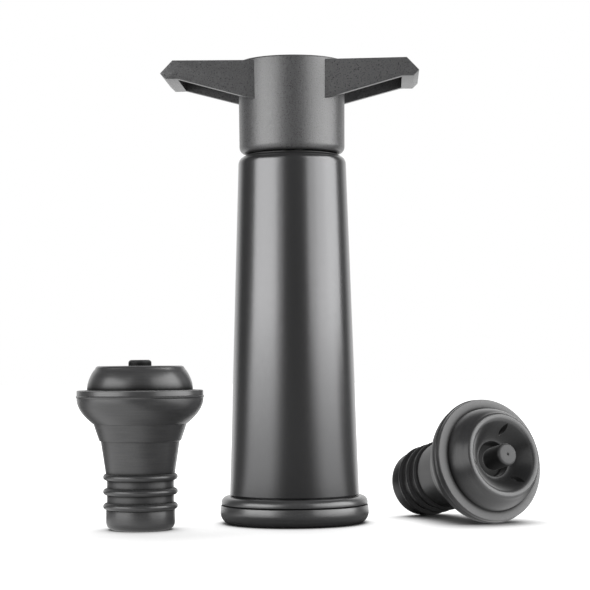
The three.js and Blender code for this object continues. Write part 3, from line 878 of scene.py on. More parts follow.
def stored(mesh: bmesh.types.BMesh, name: str) -> bpy.types.Object:
    """Puts a mesh into a new object and frees it.

    Args:
        mesh: The mesh.
        name: The object's name.

    Returns:
        The object, linked to the scene.
    """
    data = bpy.data.meshes.new(name)
    mesh.to_mesh(data)
    mesh.free()
    made = bpy.data.objects.new(name, data)
    bpy.context.scene.collection.objects.link(made)
    return made


def combined(base: bmesh.types.BMesh, other: bmesh.types.BMesh, join: Join) -> bmesh.types.BMesh:
    """Adds one closed solid to another, or cuts it out.

    Args:
        base: The solid to change. It is freed.
        other: The solid that is added or cut out. It is freed.
        join: Which of the two.

    Returns:
        The new solid.
    """
    kept, tool = stored(base, "base"), stored(other, "tool")
    change = kept.modifiers.new("combine", "BOOLEAN")
    change.operation = join.value
    change.solver = "EXACT"
    change.object = tool
    shown = kept.evaluated_get(bpy.context.evaluated_depsgraph_get())
    result = bmesh.new()
    result.from_mesh(shown.to_mesh())
    shown.to_mesh_clear()
    for scratch in (kept, tool):
        data = scratch.data
        bpy.data.objects.remove(scratch)
        bpy.data.meshes.remove(data)
    return cleaned(result)


@dataclass(frozen=True)
class Piece:
    """What a finished mesh stands for: its name, its body, its slot, and the nodes that it replaces."""

    name: str
    body: Body
    slot: Slot
    replaces: tuple[str, ...]

    def place(
        self, mesh: bmesh.types.BMesh, frame: Matrix, material: bpy.types.Material, sharp: float = 32.0
    ) -> bpy.types.Object:
        """Turns a solid in millimetres into a finished piece of the object.

        Args:
            mesh: The solid in its own frame. It is freed.
            frame: Where its own frame lies, in metres.
            material: Its finish.
            sharp: Edges that turn by more than this many degrees stay crisp.

        Returns:
            The piece, riding on its body.
        """
        bmesh.ops.transform(mesh, matrix=frame @ Matrix.Scale(MM, 4), verts=mesh.verts)
        for face in mesh.faces:
            face.smooth = True
        made = stored(mesh, self.name)
        made.data.set_sharp_from_angle(angle=math.radians(sharp))
        made.data.materials.append(material)
        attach(made, self.body.value)
        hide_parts(*self.replaces)
        LOG.info("%s: %d faces, rides on %s", self.name, len(made.data.polygons), self.body.value)
        return made


def dress(node: bpy.types.Object, material: bpy.types.Material) -> None:
    """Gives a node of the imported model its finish.

    Args:
        node: The node's object.
        material: The finish.
    """
    node.data.materials.clear()
    node.data.materials.append(material)
    LOG.info("%s: dressed in %s", node.name, material.name)


def axis_of(node: str) -> Matrix:
    """The upright frame on a round node's axis, at the table.

    Args:
        node: The node's name.

    Returns:
        The frame, in metres.
    """
    low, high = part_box(node)
    return Matrix.Translation(((low.x + high.x) / 2, (low.y + high.y) / 2, 0.0))


def span_of(node: str) -> tuple[float, float]:
    """The lowest and the highest point of a node.

    Args:
        node: The node's name.

    Returns:
        Both heights in millimetres.
    """
    low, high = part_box(node)
    return low.z / MM, high.z / MM


def radius_of(node: str) -> float:
    """The largest radius of a round upright node, in millimetres."""
    low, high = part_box(node)
    return (high.x - low.x) / 2 / MM


# The pump


@dataclass
class Barrel:
    """The pump's fixed pieces: sleeve, foot, collar, bush, gasket and what they hold."""

    steps: int = 176
    inner_steps: int = 96
    bush_steps: int = 72
    sleeve_top_radius: float = 15.0
    sleeve_wall: float = 0.8
    shoulder_rounding: float = 2.35
    turn_in: float = 1.8
    sleeve_edge: float = 0.3
    foot_rounding_across: float = 2.7
    foot_rounding_up: float = 3.2
    foot_bead_height: float = 2.35
    foot_bead_rounding: float = 1.7
    foot_groove_depth: float = 0.3
    foot_groove_width: float = 0.4
    foot_groove_edge: float = 0.15
    foot_floor: float = 2.2
    seat_gap: float = 0.3
    gasket_shelf: float = 0.3
    gasket_throat: float = 1.0
    dome_lean: float = 1.65
    dome_height: float = 5.1
    gasket_wall: float = 1.15
    gasket_lip: float = 0.25
    cylinder_wall: float = 1.5
    collar_flange: float = 3.5
    collar_neck: float = 2.1
    collar_plug: float = 4.0
    collar_edge: float = 0.4
    bush_wall: float = 2.0
    bush_gap: float = 0.2
    bush_flange: float = 1.2
    bush_colour: Colour = (0.62, 0.61, 0.57)
    inner_colour: Colour = (0.022, 0.022, 0.022)
    seal_dark: Colour = (0.02, 0.02, 0.02)
    seal_light: Colour = (0.03, 0.03, 0.03)

    def build(self, nodes: Mapping[str, bpy.types.Object]) -> None:
        """Builds the fine pieces and dresses the inner nodes.

        Args:
            nodes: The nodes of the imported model.
        """
        axis = axis_of("outer_sleeve")
        paint = SatinPaint("sleeve_paint").material(axis)
        # The foot has stronger painted shade in its crevices, such as the groove.
        foot = MouldedRubber(
            "foot_rubber",
            skin_roughness=0.27,
            skin_ior=1.9,
            streaks=1.2,
            crevice_shade_dark=0.3,
            crevice_shade_light=0.8,
        ).material(axis)
        dark = PlainPlastic("inner_plastic", self.inner_colour).material(axis)
        seal = MouldedRubber("seal_rubber", self.seal_dark, self.seal_light).material(axis)
        bush = PlainPlastic("bush_plastic", self.bush_colour, spread=0.06, roughness=0.4).material(axis)
        clear = ClearPlastic("clear_plastic").material(axis)
        for name, slot, node, mesh, material in (
            ("sleeve_shell", Slot.SLEEVE, "outer_sleeve", self.sleeve(), paint),
            ("foot_ring", Slot.FOOT, "base_ring", self.foot(), foot),
            ("gasket_ring", Slot.SEAL, "mouth_gasket", self.gasket(), seal),
            ("collar_ring", Slot.INNER, "top_collar", self.collar(), dark),
            ("bush_ring", Slot.BUSH, "rod_bush", self.bush(), bush),
        ):
            Piece(name, Body.BARREL, slot, (node,)).place(mesh, axis, material)
        for name, material in (
            ("base_carrier", dark),
            ("cylinder", clear),
            ("cylinder_o_ring", seal),
            ("stop_bumper", seal),
        ):
            dress(nodes[name], material)

    def sleeve(self) -> bmesh.types.BMesh:
        """The tapered sleeve, whose top turns in over the collar.

        Returns:
            The solid.
        """
        bottom, _ = span_of("outer_sleeve")
        _, rim = span_of("top_collar")
        top = rim - self.seat_gap
        shoulder = top - self.shoulder_rounding
        centre = self.sleeve_top_radius - self.shoulder_rounding
        outside = self.shoulder_rounding
        inside = self.shoulder_rounding - self.sleeve_wall
        mouth = self.shoulder_rounding - self.turn_in
        outer_end = math.degrees(math.acos(mouth / outside))
        inner_end = math.degrees(math.acos(mouth / inside))
        low = radius_of("outer_sleeve")
        return turned(
            [
                Corner(low, bottom, self.sleeve_edge),
                *sweep(centre, shoulder, outside, outside, 0, outer_end, steps=14),
                *reversed(sweep(centre, shoulder, inside, inside, 0, inner_end, steps=10)),
                Corner(low - self.sleeve_wall, bottom, self.sleeve_edge),
            ],
            self.steps,
        )

    def foot(self) -> bmesh.types.BMesh:
        """The round foot: a rounded lower edge, a fine groove and a bead under the sleeve.

        Returns:
            The solid.
        """
        _, top = span_of("base_ring")
        radius = radius_of("base_ring")
        inner = radius_of("base_carrier") + self.seat_gap
        mouth = radius_of("mouth_gasket") - self.gasket_shelf + self.seat_gap
        groove = top - self.foot_bead_height
        wall = radius - self.foot_groove_depth
        half = self.foot_groove_width / 2
        across, up = self.foot_rounding_across, self.foot_rounding_up
        bead = self.foot_bead_rounding
        return turned(
            [
                Corner(mouth, 0, Edge.SOFT),
                *sweep(radius - across, up, across, up, -90, 0, steps=14),
                Corner(radius - self.foot_groove_depth / 2, groove - half, self.foot_groove_edge),
                Corner(wall - self.foot_groove_depth, groove),
                Corner(wall, groove + half, self.foot_groove_edge),
                *sweep(wall - bead, top - bead, bead, bead, 0, 90, steps=12),
                Corner(inner, top, Edge.FINE),
                Corner(inner, self.foot_floor),
                Corner(mouth, self.foot_floor, Edge.SOFT),
            ],
            self.steps,
        )

    def gasket(self) -> bmesh.types.BMesh:
        """The mouth gasket, whose inner face follows a stopper's dome.

        Returns:
            The solid.
        """
        low, top = span_of("mouth_gasket")
        radius = radius_of("mouth_gasket")
        lower = radius - self.gasket_shelf
        shelf, _ = span_of("base_carrier")
        foot = radius - self.gasket_wall
        bore = self.bore() + self.seat_gap
        throat = low + self.dome_height
        shares = [i / 6 for i in range(6, 0, -1)]
        face = [Corner(foot - self.dome_lean * s**2, low + self.dome_height * s) for s in shares]
        return turned(
            [
                Corner(foot, low, self.gasket_lip),
                Corner(lower, low, Edge.FINE),
                Corner(lower, shelf),
                Corner(radius, shelf, Edge.CRISP),
                Corner(radius, top, Edge.SOFT),
                Corner(bore, top, Edge.FINE),
                Corner(bore, throat + self.gasket_throat, Edge.SOFT),
                *face,
            ],
            self.inner_steps,
        )

    def bore(self) -> float:
        """The cylinder's inner radius."""
        return radius_of("cylinder") - self.cylinder_wall

    def collar(self) -> bmesh.types.BMesh:
        """The collar: a plug in the cylinder, a flange over it and a neck in the sleeve's mouth.

        Returns:
            The solid.
        """
        bottom, top = span_of("top_collar")
        flange = radius_of("top_collar")
        neck = self.sleeve_top_radius - self.turn_in - self.seat_gap
        hole = self.bush_radius() + self.seat_gap
        plug = self.bore() - self.seat_gap
        shelf = bottom + self.collar_plug
        return turned(
            [
                Corner(hole, bottom, Edge.FINE),
                Corner(plug, bottom, self.collar_edge),
                Corner(plug, shelf),
                Corner(flange, shelf, Edge.SOFT),
                Corner(flange, shelf + self.collar_flange, self.collar_edge),
                Corner(neck, top - self.seat_gap - self.collar_neck),
                Corner(neck, top, Edge.FINE),
                Corner(hole, top, Edge.SOFT),
            ],
            self.inner_steps,
        )

    def bush_radius(self) -> float:
        """The bush's outer radius."""
        return radius_of("plunger_rod") + self.bush_gap + self.bush_wall

    def bush(self) -> bmesh.types.BMesh:
        """The flanged bush that guides the rod.

        Returns:
            The solid.
        """
        bottom, top = span_of("rod_bush")
        flange = radius_of("rod_bush")
        hole = radius_of("plunger_rod") + self.bush_gap
        return turned(
            [
                Corner(hole, bottom, Edge.SOFT),
                Corner(flange, bottom, Edge.FINE),
                Corner(flange, bottom + self.bush_flange, Edge.FINE),
                Corner(self.bush_radius(), bottom + self.bush_flange),
                Corner(self.bush_radius(), top, Edge.FINE),
                Corner(hole, top, Edge.ROUND),
            ],
            self.bush_steps,
        )


@dataclass
class Piston:
    """The pieces that slide in the cylinder."""

    seal_dark: Colour = (0.016, 0.016, 0.016)
    seal_light: Colour = (0.026, 0.026, 0.026)
    head_colour: Colour = (0.55, 0.54, 0.5)

    def build(self, nodes: Mapping[str, bpy.types.Object]) -> None:
        """Dresses the piston's nodes.

        Args:
            nodes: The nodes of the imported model.
        """
        axis = axis_of("outer_sleeve")
        white = PlainPlastic("piston_plastic", self.head_colour, spread=0.08, roughness=0.4)
        seal = MouldedRubber("piston_seal_rubber", self.seal_dark, self.seal_light)
        steel = TurnedSteel("washer_steel")
        dress(nodes["piston_head"], white.material(axis))
        dress(nodes["piston_seal"], seal.material(axis))
        dress(nodes["piston_washer"], steel.material(axis))


@dataclass
class Plunger:
    """The handle with its cap, the rod and the screws, which slide and turn together."""

    steps: int = 160
    inner_steps: int = 96
    hub_bottom_radius: float = 14.65
    hub_draft: float = 0.2
    hub_wall: float = 2.2
    hub_bottom_rounding: float = 1.9
    hub_top_rounding: float = 0.5
    boss_wall: float = 2.4
    boss_rise: float = 3.0
    web_drop: float = 9.8
    web: float = 3.0
    rib: float = 1.6
    rib_angles: tuple[float, ...] = (45.0, 135.0, 225.0, 315.0)
    arm_drop: float = 0.8
    arm_depth: float = 21.4
    arm_flare: float = 0.056
    arm_wall: float = 2.0
    arm_room_rounding: float = 1.0
    arm_tip: float = 35.5
    arm_end_run: float = 3.4
    arm_tip_drop: float = 3.6
    arm_end_undercut: float = 1.55
    arm_land_run: float = 4.8
    arm_land_drop: float = 5.1
    arm_slope: float = 0.271
    arm_edge: float = 0.2
    arm_corner: float = 0.2
    arm_fillet: float = 3.0
    cap_radius: float = 12.2
    cap_sink: float = 0.2
    cap_ledge: float = 1.9
    cap_thickness: float = 2.0
    cap_edge: float = 0.45
    rod_edge: float = 0.4
    seat_gap: float = 0.3
    screw_hole_radius: float = 2.3
    screw_hole_depth: float = 10.5
    turn: float = -2.7
    overshoot: float = 1.0

    def build(self, nodes: Mapping[str, bpy.types.Object]) -> None:
        """Builds the handle, its cap and the rod, and dresses the screws.

        Args:
            nodes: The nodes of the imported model.
        """
        axis = axis_of("outer_sleeve") @ Matrix.Rotation(math.radians(self.turn), 4, "Z")
        grain = SparkedPlastic("handle_plastic").material(axis)
        smooth = SparkedPlastic("cap_plastic", depth=0.04, roughness=0.4).material(axis)
        steel = TurnedSteel("rod_steel").material(axis)
        screws = TurnedSteel("screw_steel", roughness=0.35).material(axis)
        handle = Piece("handle_moulding", Body.PLUNGER, Slot.HANDLE, ("t_handle",))
        handle.place(self.handle(), axis, grain, sharp=28.0)
        Piece("cap_disc", Body.PLUNGER, Slot.HANDLE, ("hub_cap",)).place(self.cap(), axis, smooth)
        Piece("rod_bar", Body.PLUNGER, Slot.ROD, ("plunger_rod",)).place(self.rod(), axis, steel)
        dress(nodes["piston_screw"], screws)
        dress(nodes["handle_screw"], screws)

    def handle(self) -> bmesh.types.BMesh:
        """The moulded handle: a hub with two hollow arms.

        Returns:
            The solid.
        """
        bottom, top = span_of("t_handle")
        bar = pushed(self.arms_outline(top), self.arm_depth, self.arm_edge)
        arms = self.flared(bar, self.arm_depth / 2)
        for side in (1, -1):
            arms = combined(arms, self.arm_room(top, side), Join.CUT)
        handle = combined(arms, self.hub(bottom, top), Join.ADD)
        handle = combined(handle, self.room_below(bottom, top), Join.CUT)
        handle = combined(handle, self.room_above(top), Join.CUT)
        for angle in self.rib_angles:
            handle = combined(handle, self.hub_rib(bottom, top, angle), Join.ADD)
        return handle

    def flared(self, bar: bmesh.types.BMesh, half: float) -> bmesh.types.BMesh:
        """Moves the front and back of a bar apart more and more towards its ends.

        Args:
            bar: The solid, centred on the hub's axis.
            half: Half its depth.

        Returns:
            The same solid.
        """
        everything = bar.verts[:] + bar.edges[:] + bar.faces[:]
        bmesh.ops.bisect_plane(bar, geom=everything, dist=NEAR, plane_co=(0, 0, 0), plane_no=(1, 0, 0))
        for vert in bar.verts:
            vert.co.y *= 1 + self.arm_flare * abs(vert.co.x) / half
        return bar

    def arms_outline(self, top: float) -> list[Corner]:
        """The outline of both arms in one bar, seen from the front.

        Args:
            top: The height of the handle's top.

        Returns:
            The corners, from the left tip round.
        """
        high = top - self.arm_drop
        land = high - self.arm_land_drop
        edge = self.arm_tip - self.arm_land_run
        half = [
            (self.arm_tip - self.arm_end_run, high, self.arm_corner),
            (self.arm_tip, high - self.arm_tip_drop, self.arm_corner),
            (self.arm_tip - self.arm_end_undercut, land, self.arm_corner),
            (edge, land, self.arm_fillet),
        ]
        right = [Corner(x, z, rounding) for x, z, rounding in half]
        left = [Corner(-x, z, rounding) for x, z, rounding in reversed(half)]
        return [*right, Corner(0, land - self.arm_slope * edge), *left]

    def arm_room(self, top: float, side: int) -> bmesh.types.BMesh:
        """The room inside one arm, open below.

        Args:
            top: The height of the handle's top.
            side: 1 for the right arm, -1 for the left one.

        Returns:
            The solid to cut out.
        """
        high = top - self.arm_drop
        edge = self.arm_tip - self.arm_land_run
        roof = high - self.arm_wall
        under = high - self.arm_land_drop - self.arm_slope * edge - self.arm_wall
        corners = [
            Corner(0, roof),
            Corner(side * edge, roof, self.arm_room_rounding),
            Corner(side * edge, under),
            Corner(0, under),
        ]
        depth = self.arm_depth - 2 * self.arm_wall
        return self.flared(pushed(corners, depth), depth / 2)

    def hub(self, bottom: float, top: float) -> bmesh.types.BMesh:
        """The hub's full outer form.

        Args:
            bottom: Its lower end.
            top: Its upper end.

        Returns:
            The solid.
        """
        radius = self.hub_bottom_radius
        return turned(
            [
                Corner(0, bottom),
                Corner(radius, bottom, self.hub_bottom_rounding),
                Corner(radius + self.hub_draft, top, self.hub_top_rounding),
                Corner(0, top),
            ],
            self.steps,
        )

    def rod_socket(self) -> float:
        """The radius of the socket that the rod sits in."""
        return radius_of("plunger_rod") + self.seat_gap

    def room_below(self, bottom: float, top: float) -> bmesh.types.BMesh:
        """The ring-shaped room round the boss, with the rod's socket in its middle.

        Args:
            bottom: The hub's lower end.
            top: The hub's upper end.

        Returns:
            The solid to cut out.
        """
        roof = top - self.web_drop
        wall = self.hub_bottom_radius - self.hub_wall
        boss = self.rod_socket() + self.boss_wall
        return turned(
            [
                Corner(0, bottom - self.overshoot),
                Corner(wall, bottom - self.overshoot),
                Corner(wall, roof, Edge.ROUND),
                Corner(boss, roof, Edge.ROUND),
                Corner(boss, bottom + self.boss_rise, Edge.SOFT),
                Corner(self.rod_socket(), bottom + self.boss_rise, Edge.SOFT),
                Corner(self.rod_socket(), roof),
                Corner(0, roof),
            ],
            self.inner_steps,
        )

    def room_above(self, top: float) -> bmesh.types.BMesh:
        """The room for the screw's head under the cap's seat.

        Args:
            top: The hub's upper end.

        Returns:
            The solid to cut out.
        """
        under = top - self.web_drop - self.overshoot
        floor = top - self.web_drop + self.web
        seat = self.cap_radius + self.seat_gap
        ledge = top - self.cap_sink - self.cap_thickness - self.seat_gap
        over = top + self.overshoot
        return turned(
            [
                Corner(0, under),
                Corner(self.screw_hole_radius, under),
                Corner(self.screw_hole_radius, floor),
                Corner(seat - self.cap_ledge, floor),
                Corner(seat - self.cap_ledge, ledge),
                Corner(seat, ledge),
                Corner(seat, over),
                Corner(0, over),
            ],
            self.inner_steps,
        )

    def hub_rib(self, bottom: float, top: float, angle: float) -> bmesh.types.BMesh:
        """One rib from the boss to the hub's wall.

        Args:
            bottom: The hub's lower end.
            top: The hub's upper end.
            angle: Its direction in degrees.

        Returns:
            The solid to add.
        """
        inner = self.rod_socket() + self.boss_wall / 2
        outer = self.hub_bottom_radius - self.hub_wall / 2
        low = bottom + self.boss_rise
        high = top - self.web_drop + self.web / 2
        rib = box((outer - inner, self.rib, high - low), ((inner + outer) / 2, 0, (low + high) / 2))
        turn = Matrix.Rotation(math.radians(angle), 3, "Z")
        bmesh.ops.rotate(rib, cent=(0, 0, 0), matrix=turn, verts=rib.verts)
        return rib

    def cap(self) -> bmesh.types.BMesh:
        """The round cap, level with the hub's top.

        Returns:
            The solid.
        """
        bottom, top = span_of("hub_cap")
        return turned(
            [
                Corner(0, bottom),
                Corner(self.cap_radius, bottom),
                Corner(self.cap_radius, top, self.cap_edge),
                Corner(0, top),
            ],
            self.steps,
        )

    def rod(self) -> bmesh.types.BMesh:
        """The round rod, with a screw hole in each end.

        Returns:
            The solid.
        """
        bottom, top = span_of("plunger_rod")
        radius = radius_of("plunger_rod")
        hole, depth = self.screw_hole_radius, self.screw_hole_depth
        return turned(
            [
                Corner(0, bottom + depth),
                Corner(hole, bottom + depth),
                Corner(hole, bottom),
                Corner(radius, bottom, self.rod_edge),
                Corner(radius, top, self.rod_edge),
                Corner(hole, top),
                Corner(hole, top - depth),
                Corner(0, top - depth),
            ],
            self.inner_steps,
        )


# The stoppers


class Pose(Enum):
    """How a stopper stands."""

    UPRIGHT = "upright"
    LYING = "lying"


@dataclass
class Stopper:
    """One valve stopper: a rubber moulding and the nub that is tilted to let air in."""

    pose: Pose
    body: Body
    valve: Body
    steps: int = 144
    nub_steps: int = 96
    box_steps: int = 360
    stem: float = 8.95
    tail: float = 9.2
    tail_height: float = 5.3
    tail_rounding: float = 2.0
    tail_edge: float = 0.12
    rib_bulge: float = 1.05
    rib_half_height: float = 0.9
    rib_pitch: float = 3.9
    rib_count: int = 3
    first_rib_rise: float = 1.0
    neck_foot: float = 9.25
    neck_top: float = 10.6
    neck_height: float = 8.7
    neck_step: float = 0.1
    cup_foot: float = 11.0
    cup_top: float = 12.53
    cup_height: float = 4.65
    cup_edge: float = 0.15
    bowl_step: float = 0.17
    bowl_height: float = 6.8
    lip_bulge: float = 0.3
    lip_rise: float = 0.45
    lip_slope: float = 0.3
    lip_edge: float = 0.08
    plate: float = 17.0
    plate_rise: float = 1.7
    dome_foot: float = 14.2
    dome_height: float = 5.1
    dome_lean: float = 1.65
    rim_rise: float = 1.4
    rim_inset: float = 1.55
    rim_half_width: float = 1.0
    rim_half_height: float = 0.9
    rim_inner_width: float = 1.7
    rim_inner_height: float = 1.5
    recess_inset: float = 0.85
    recess_drop: float = 0.7
    recess_curve: float = 1.6
    well: float = 4.85
    well_rise: float = 1.3
    well_depth: float = 3.2
    well_edge: float = 0.25
    well_rounding: float = 0.6
    bore_way: float = 5.2
    chamber_inset: float = 0.35
    chamber_drop: float = 1.2
    chamber_rounding: float = 0.8
    wall: float = 2.4
    skirt_wall: float = 1.45
    slit_count: int = 3
    slit_margin: float = 0.2
    slit_overlap: float = 1.0
    slit_width: float = 1.5
    slit_first_angle: float = 39.0
    nub: float = 3.1
    nub_rise: float = 1.6
    nub_rounding: float = 0.8
    dimple: float = 0.45
    dimple_depth: float = 0.4
    seat_gap: float = 0.3
    yaw: float = -59.4
    under_skin: float = 0.85

    def __post_init__(self) -> None:
        """Works out the heights above the stopper's own foot, and the radii that follow from others."""
        self.first_rib = self.tail_height + self.first_rib_rise
        self.neck_start = self.first_rib + (self.rib_count - 1) * self.rib_pitch + self.rib_half_height
        self.neck_end = self.neck_start + self.neck_height
        self.cup_end = self.neck_end + self.cup_height
        self.bowl_end = self.cup_end + self.bowl_height
        self.lip_height = self.bowl_end + self.lip_rise
        self.plate_top = self.lip_height + self.plate_rise
        self.shoulder = self.plate_top + self.dome_height
        self.rim_top = self.shoulder + self.rim_rise
        self.well_top = self.plate_top + self.well_rise
        self.well_floor = self.well_top - self.well_depth
        self.nub_top = self.rim_top + self.nub_rise
        self.rim = self.dome_foot - self.dome_lean - self.rim_inset
        self.recess = self.rim - self.recess_inset
        self.chamber = self.recess - self.chamber_inset
        self.skirt = self.well + self.skirt_wall
        self.lip = self.plate + self.lip_bulge

    def build(self) -> list[bpy.types.Object]:
        """Builds the rubber body and the nub.

        Returns:
            Both pieces.
        """
        prefix = self.pose.value
        frame = self.frame()
        # The body has painted shade in its hollows and a painted sheen on the plate's flat face; the
        # nub's painted shade also counts the well round it.
        rubber = MouldedRubber("stopper_rubber", face_height=self.plate_top, under_skin=self.under_skin)
        nub = MouldedRubber("nub_rubber", skin_roughness=0.5, skin=0.7, alone=False)
        body = Piece(prefix + "_rubber", self.body, Slot.STOPPER, (prefix + "_stopper_body",))
        valve = Piece(prefix + "_nub", self.valve, Slot.STOPPER, (prefix + "_stopper_valve",))
        return [
            body.place(self.moulding(), frame, rubber.material(frame, "_" + prefix), sharp=30.0),
            valve.place(self.nub_solid(), frame, nub.material(frame, "_" + prefix)),
        ]

    def frame(self) -> Matrix:
        """Where the stopper's own frame lies.

        The lying one rests on its lip and on the rounding of its tail.

        Returns:
            The frame, in metres.
        """
        if self.pose is Pose.UPRIGHT:
            return axis_of("upright_stopper_valve")
        across = self.lip - (self.tail - self.tail_rounding)
        along = self.lip_height - self.tail_rounding
        tilt = math.atan2(across, along) - math.asin(self.tail_rounding / math.hypot(across, along))
        turn = Euler((0, math.pi / 2 - tilt, math.radians(self.yaw))).to_matrix()
        low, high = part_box("lying_stopper_body")
        middle = (low + high) / 2
        return Matrix.LocRotScale(middle - self.box_middle(turn), turn, None)

    def box_middle(self, turn: Matrix) -> Vector:
        """The middle of the turned stopper's box, measured from its own foot.

        Args:
            turn: How the stopper is turned.

        Returns:
            The middle, in metres.
        """
        foot = (self.tail - self.tail_rounding, 0.0)
        points = self.silhouette(turn, (foot, (self.lip, self.lip_height), (self.rim, self.rim_top)))
        low = Vector(min(p[i] for p in points) for i in range(3))
        high = Vector(max(p[i] for p in points) for i in range(3))
        return (low + high) / 2

    def silhouette(self, turn: Matrix, rings: Iterable[tuple[float, float]]) -> list[Vector]:
        """Points on some of the stopper's rings after it is turned.

        Args:
            turn: How the stopper is turned.
            rings: Radius and height of each ring, in millimetres.

        Returns:
            The points, in metres.
        """
        angles = [math.tau * i / self.box_steps for i in range(self.box_steps)]
        return [
            turn @ Vector((r * math.cos(a), r * math.sin(a), z)) * MM
            for r, z in rings
            for a in angles
        ]

    def cone_height(self, r: float) -> float:
        """The height of the recess's cone at a radius.

        Args:
            r: The radius.

        Returns:
            The height.
        """
        rise = self.rim_top - self.recess_drop - self.well_top
        return self.well_top + rise * (r - self.well) / (self.recess - self.well)

    def ribs(self) -> list[Corner]:
        """The sealing ribs of the stem, from the bottom up.

        Returns:
            Their outline.
        """
        made: list[Corner] = []
        for i in range(self.rib_count):
            height = self.first_rib + i * self.rib_pitch
            made += sweep(self.stem, height, self.rib_bulge, self.rib_half_height, -90, 90, steps=10)
        return made

    def dome(self) -> list[Corner]:
        """The dome's side, from the plate up.

        Returns:
            Its outline.
        """
        foot, bottom = self.dome_foot, self.plate_top
        shares = [i / 8 for i in range(9)]
        return [Corner(foot - self.dome_lean * s * s, bottom + self.dome_height * s) for s in shares]

    def bowl(self) -> list[Corner]:
        """The bowl under the lip, from the cup up.

        Returns:
            Its outline.
        """
        reach = self.plate - self.cup_top - self.bowl_step
        shares = [i / 16 for i in range(16, -1, -1)]
        return [Corner(self.plate - reach * s * s, self.bowl_end - self.bowl_height * s) for s in shares]

    def rim_arc(self) -> list[Corner]:
        """The round top of the dome's rim, from the outside in, wider on the inside.

        Returns:
            Its outline.
        """
        outer, inner = self.rim_top - self.rim_half_height, self.rim_top - self.rim_inner_height
        return [
            *sweep(self.rim, outer, self.rim_half_width, self.rim_half_height, 10, 85, steps=8),
            *sweep(self.rim, inner, self.rim_inner_width, self.rim_inner_height, 90, 150, steps=10),
        ]

    def recess_side(self) -> list[Corner]:
        """The hollow side of the recess, from the rim's arc down to the well, which it meets flat.

        Returns:
            Its outline.
        """
        start = self.rim_arc()[-1]
        shares = [i / 12 for i in range(1, 12)]
        return [
            Corner(
                start.r - (start.r - self.well) * s,
                self.well_top + (start.z - self.well_top) * (1 - s) ** self.recess_curve,
            )
            for s in shares
        ]

    def moulding(self) -> bmesh.types.BMesh:
        """The rubber body, hollow from its foot up to the slits under the dome.

        Returns:
            The solid.
        """
        outside = [
            Corner(self.bore_way, 0, Edge.SOFT),
            Corner(self.tail, 0, self.tail_rounding),
            Corner(self.tail, self.tail_height, self.tail_edge),
            *self.ribs(),
            Corner(self.neck_foot, self.neck_start, Edge.CRISP),
            Corner(self.neck_top, self.neck_end, Edge.SOFT),
            Corner(self.cup_foot, self.neck_end + self.neck_step, self.cup_edge),
            Corner(self.cup_top, self.cup_end, Edge.CRISP),
            *self.bowl(),
            Corner(self.lip, self.lip_height, self.lip_edge),
            Corner(self.plate, self.lip_height + self.lip_slope, Edge.CRISP),
            Corner(self.plate, self.plate_top, Edge.SOFT),
            *self.dome(),
            *self.rim_arc(),
            *self.recess_side(),
            Corner(self.well, self.well_top, self.well_edge),
            Corner(self.well, self.well_floor, self.well_rounding),
            Corner(0, self.well_floor),
        ]
        chamber_foot = self.cup_end - self.chamber_drop
        inside = [
            Corner(0, self.well_floor - self.wall),
            Corner(self.skirt, self.well_floor - self.wall, Edge.ROUND),
            Corner(self.skirt, self.cone_height(self.skirt) - self.wall, Edge.ROUND),
            Corner(self.chamber, self.cone_height(self.chamber) - self.wall, Edge.ROUND),
            Corner(self.chamber, chamber_foot + self.chamber - self.bore_way, self.chamber_rounding),
            Corner(self.bore_way, chamber_foot, self.chamber_rounding),
        ]
        body = turned([*outside, *inside], self.steps)
        for i in range(self.slit_count):
            body = combined(body, self.slit(self.slit_first_angle + i * 360 / self.slit_count), Join.CUT)
        return body

    def slit(self, angle: float) -> bmesh.types.BMesh:
        """The eye-shaped cutter of one slit, standing along Z.

        Args:
            angle: Its direction from the axis, in degrees.

        Returns:
            The solid to cut out.
        """
        inner, outer = self.skirt + self.slit_margin, self.chamber - self.slit_margin
        bottom = self.cone_height(inner) - self.wall - self.slit_overlap
        shares = [i / 12 for i in range(13)]
        edge = [(inner + (outer - inner) * s, 2 * s * (1 - s) * self.slit_width) for s in shares]
        points = [*edge, *((x, -y) for x, y in reversed(edge[1:-1]))]
        mesh = bmesh.new()
        face = mesh.faces.new([mesh.verts.new((x, y, bottom)) for x, y in points])
        extruded(mesh, face, (0, 0, self.rim_top - bottom))
        turn = Matrix.Rotation(math.radians(angle), 3, "Z")
        bmesh.ops.rotate(mesh, cent=(0, 0, 0), matrix=turn, verts=mesh.verts)
        return cleaned(mesh)

    def nub_solid(self) -> bmesh.types.BMesh:
        """The nub: a round foot in the well, a straight stem and a small dimple on top.

        Returns:
            The solid.
        """
        pivot = self.well_floor + self.seat_gap + self.nub
        return turned(
            [
                *sweep(0, pivot, self.nub, self.nub, -90, 0, steps=12),
                Corner(self.nub, self.nub_top, self.nub_rounding),
                Corner(self.dimple, self.nub_top, Edge.CRISP),
                Corner(0, self.nub_top - self.dimple_depth),
            ],
            self.nub_steps,
        )


# The studio


class Linking(Enum):
    """The two ways in which a light can pass an object by."""

    LIGHTS_NOT = "receiver_collection"
    NO_SHADOW_OF = "blocker_collection"


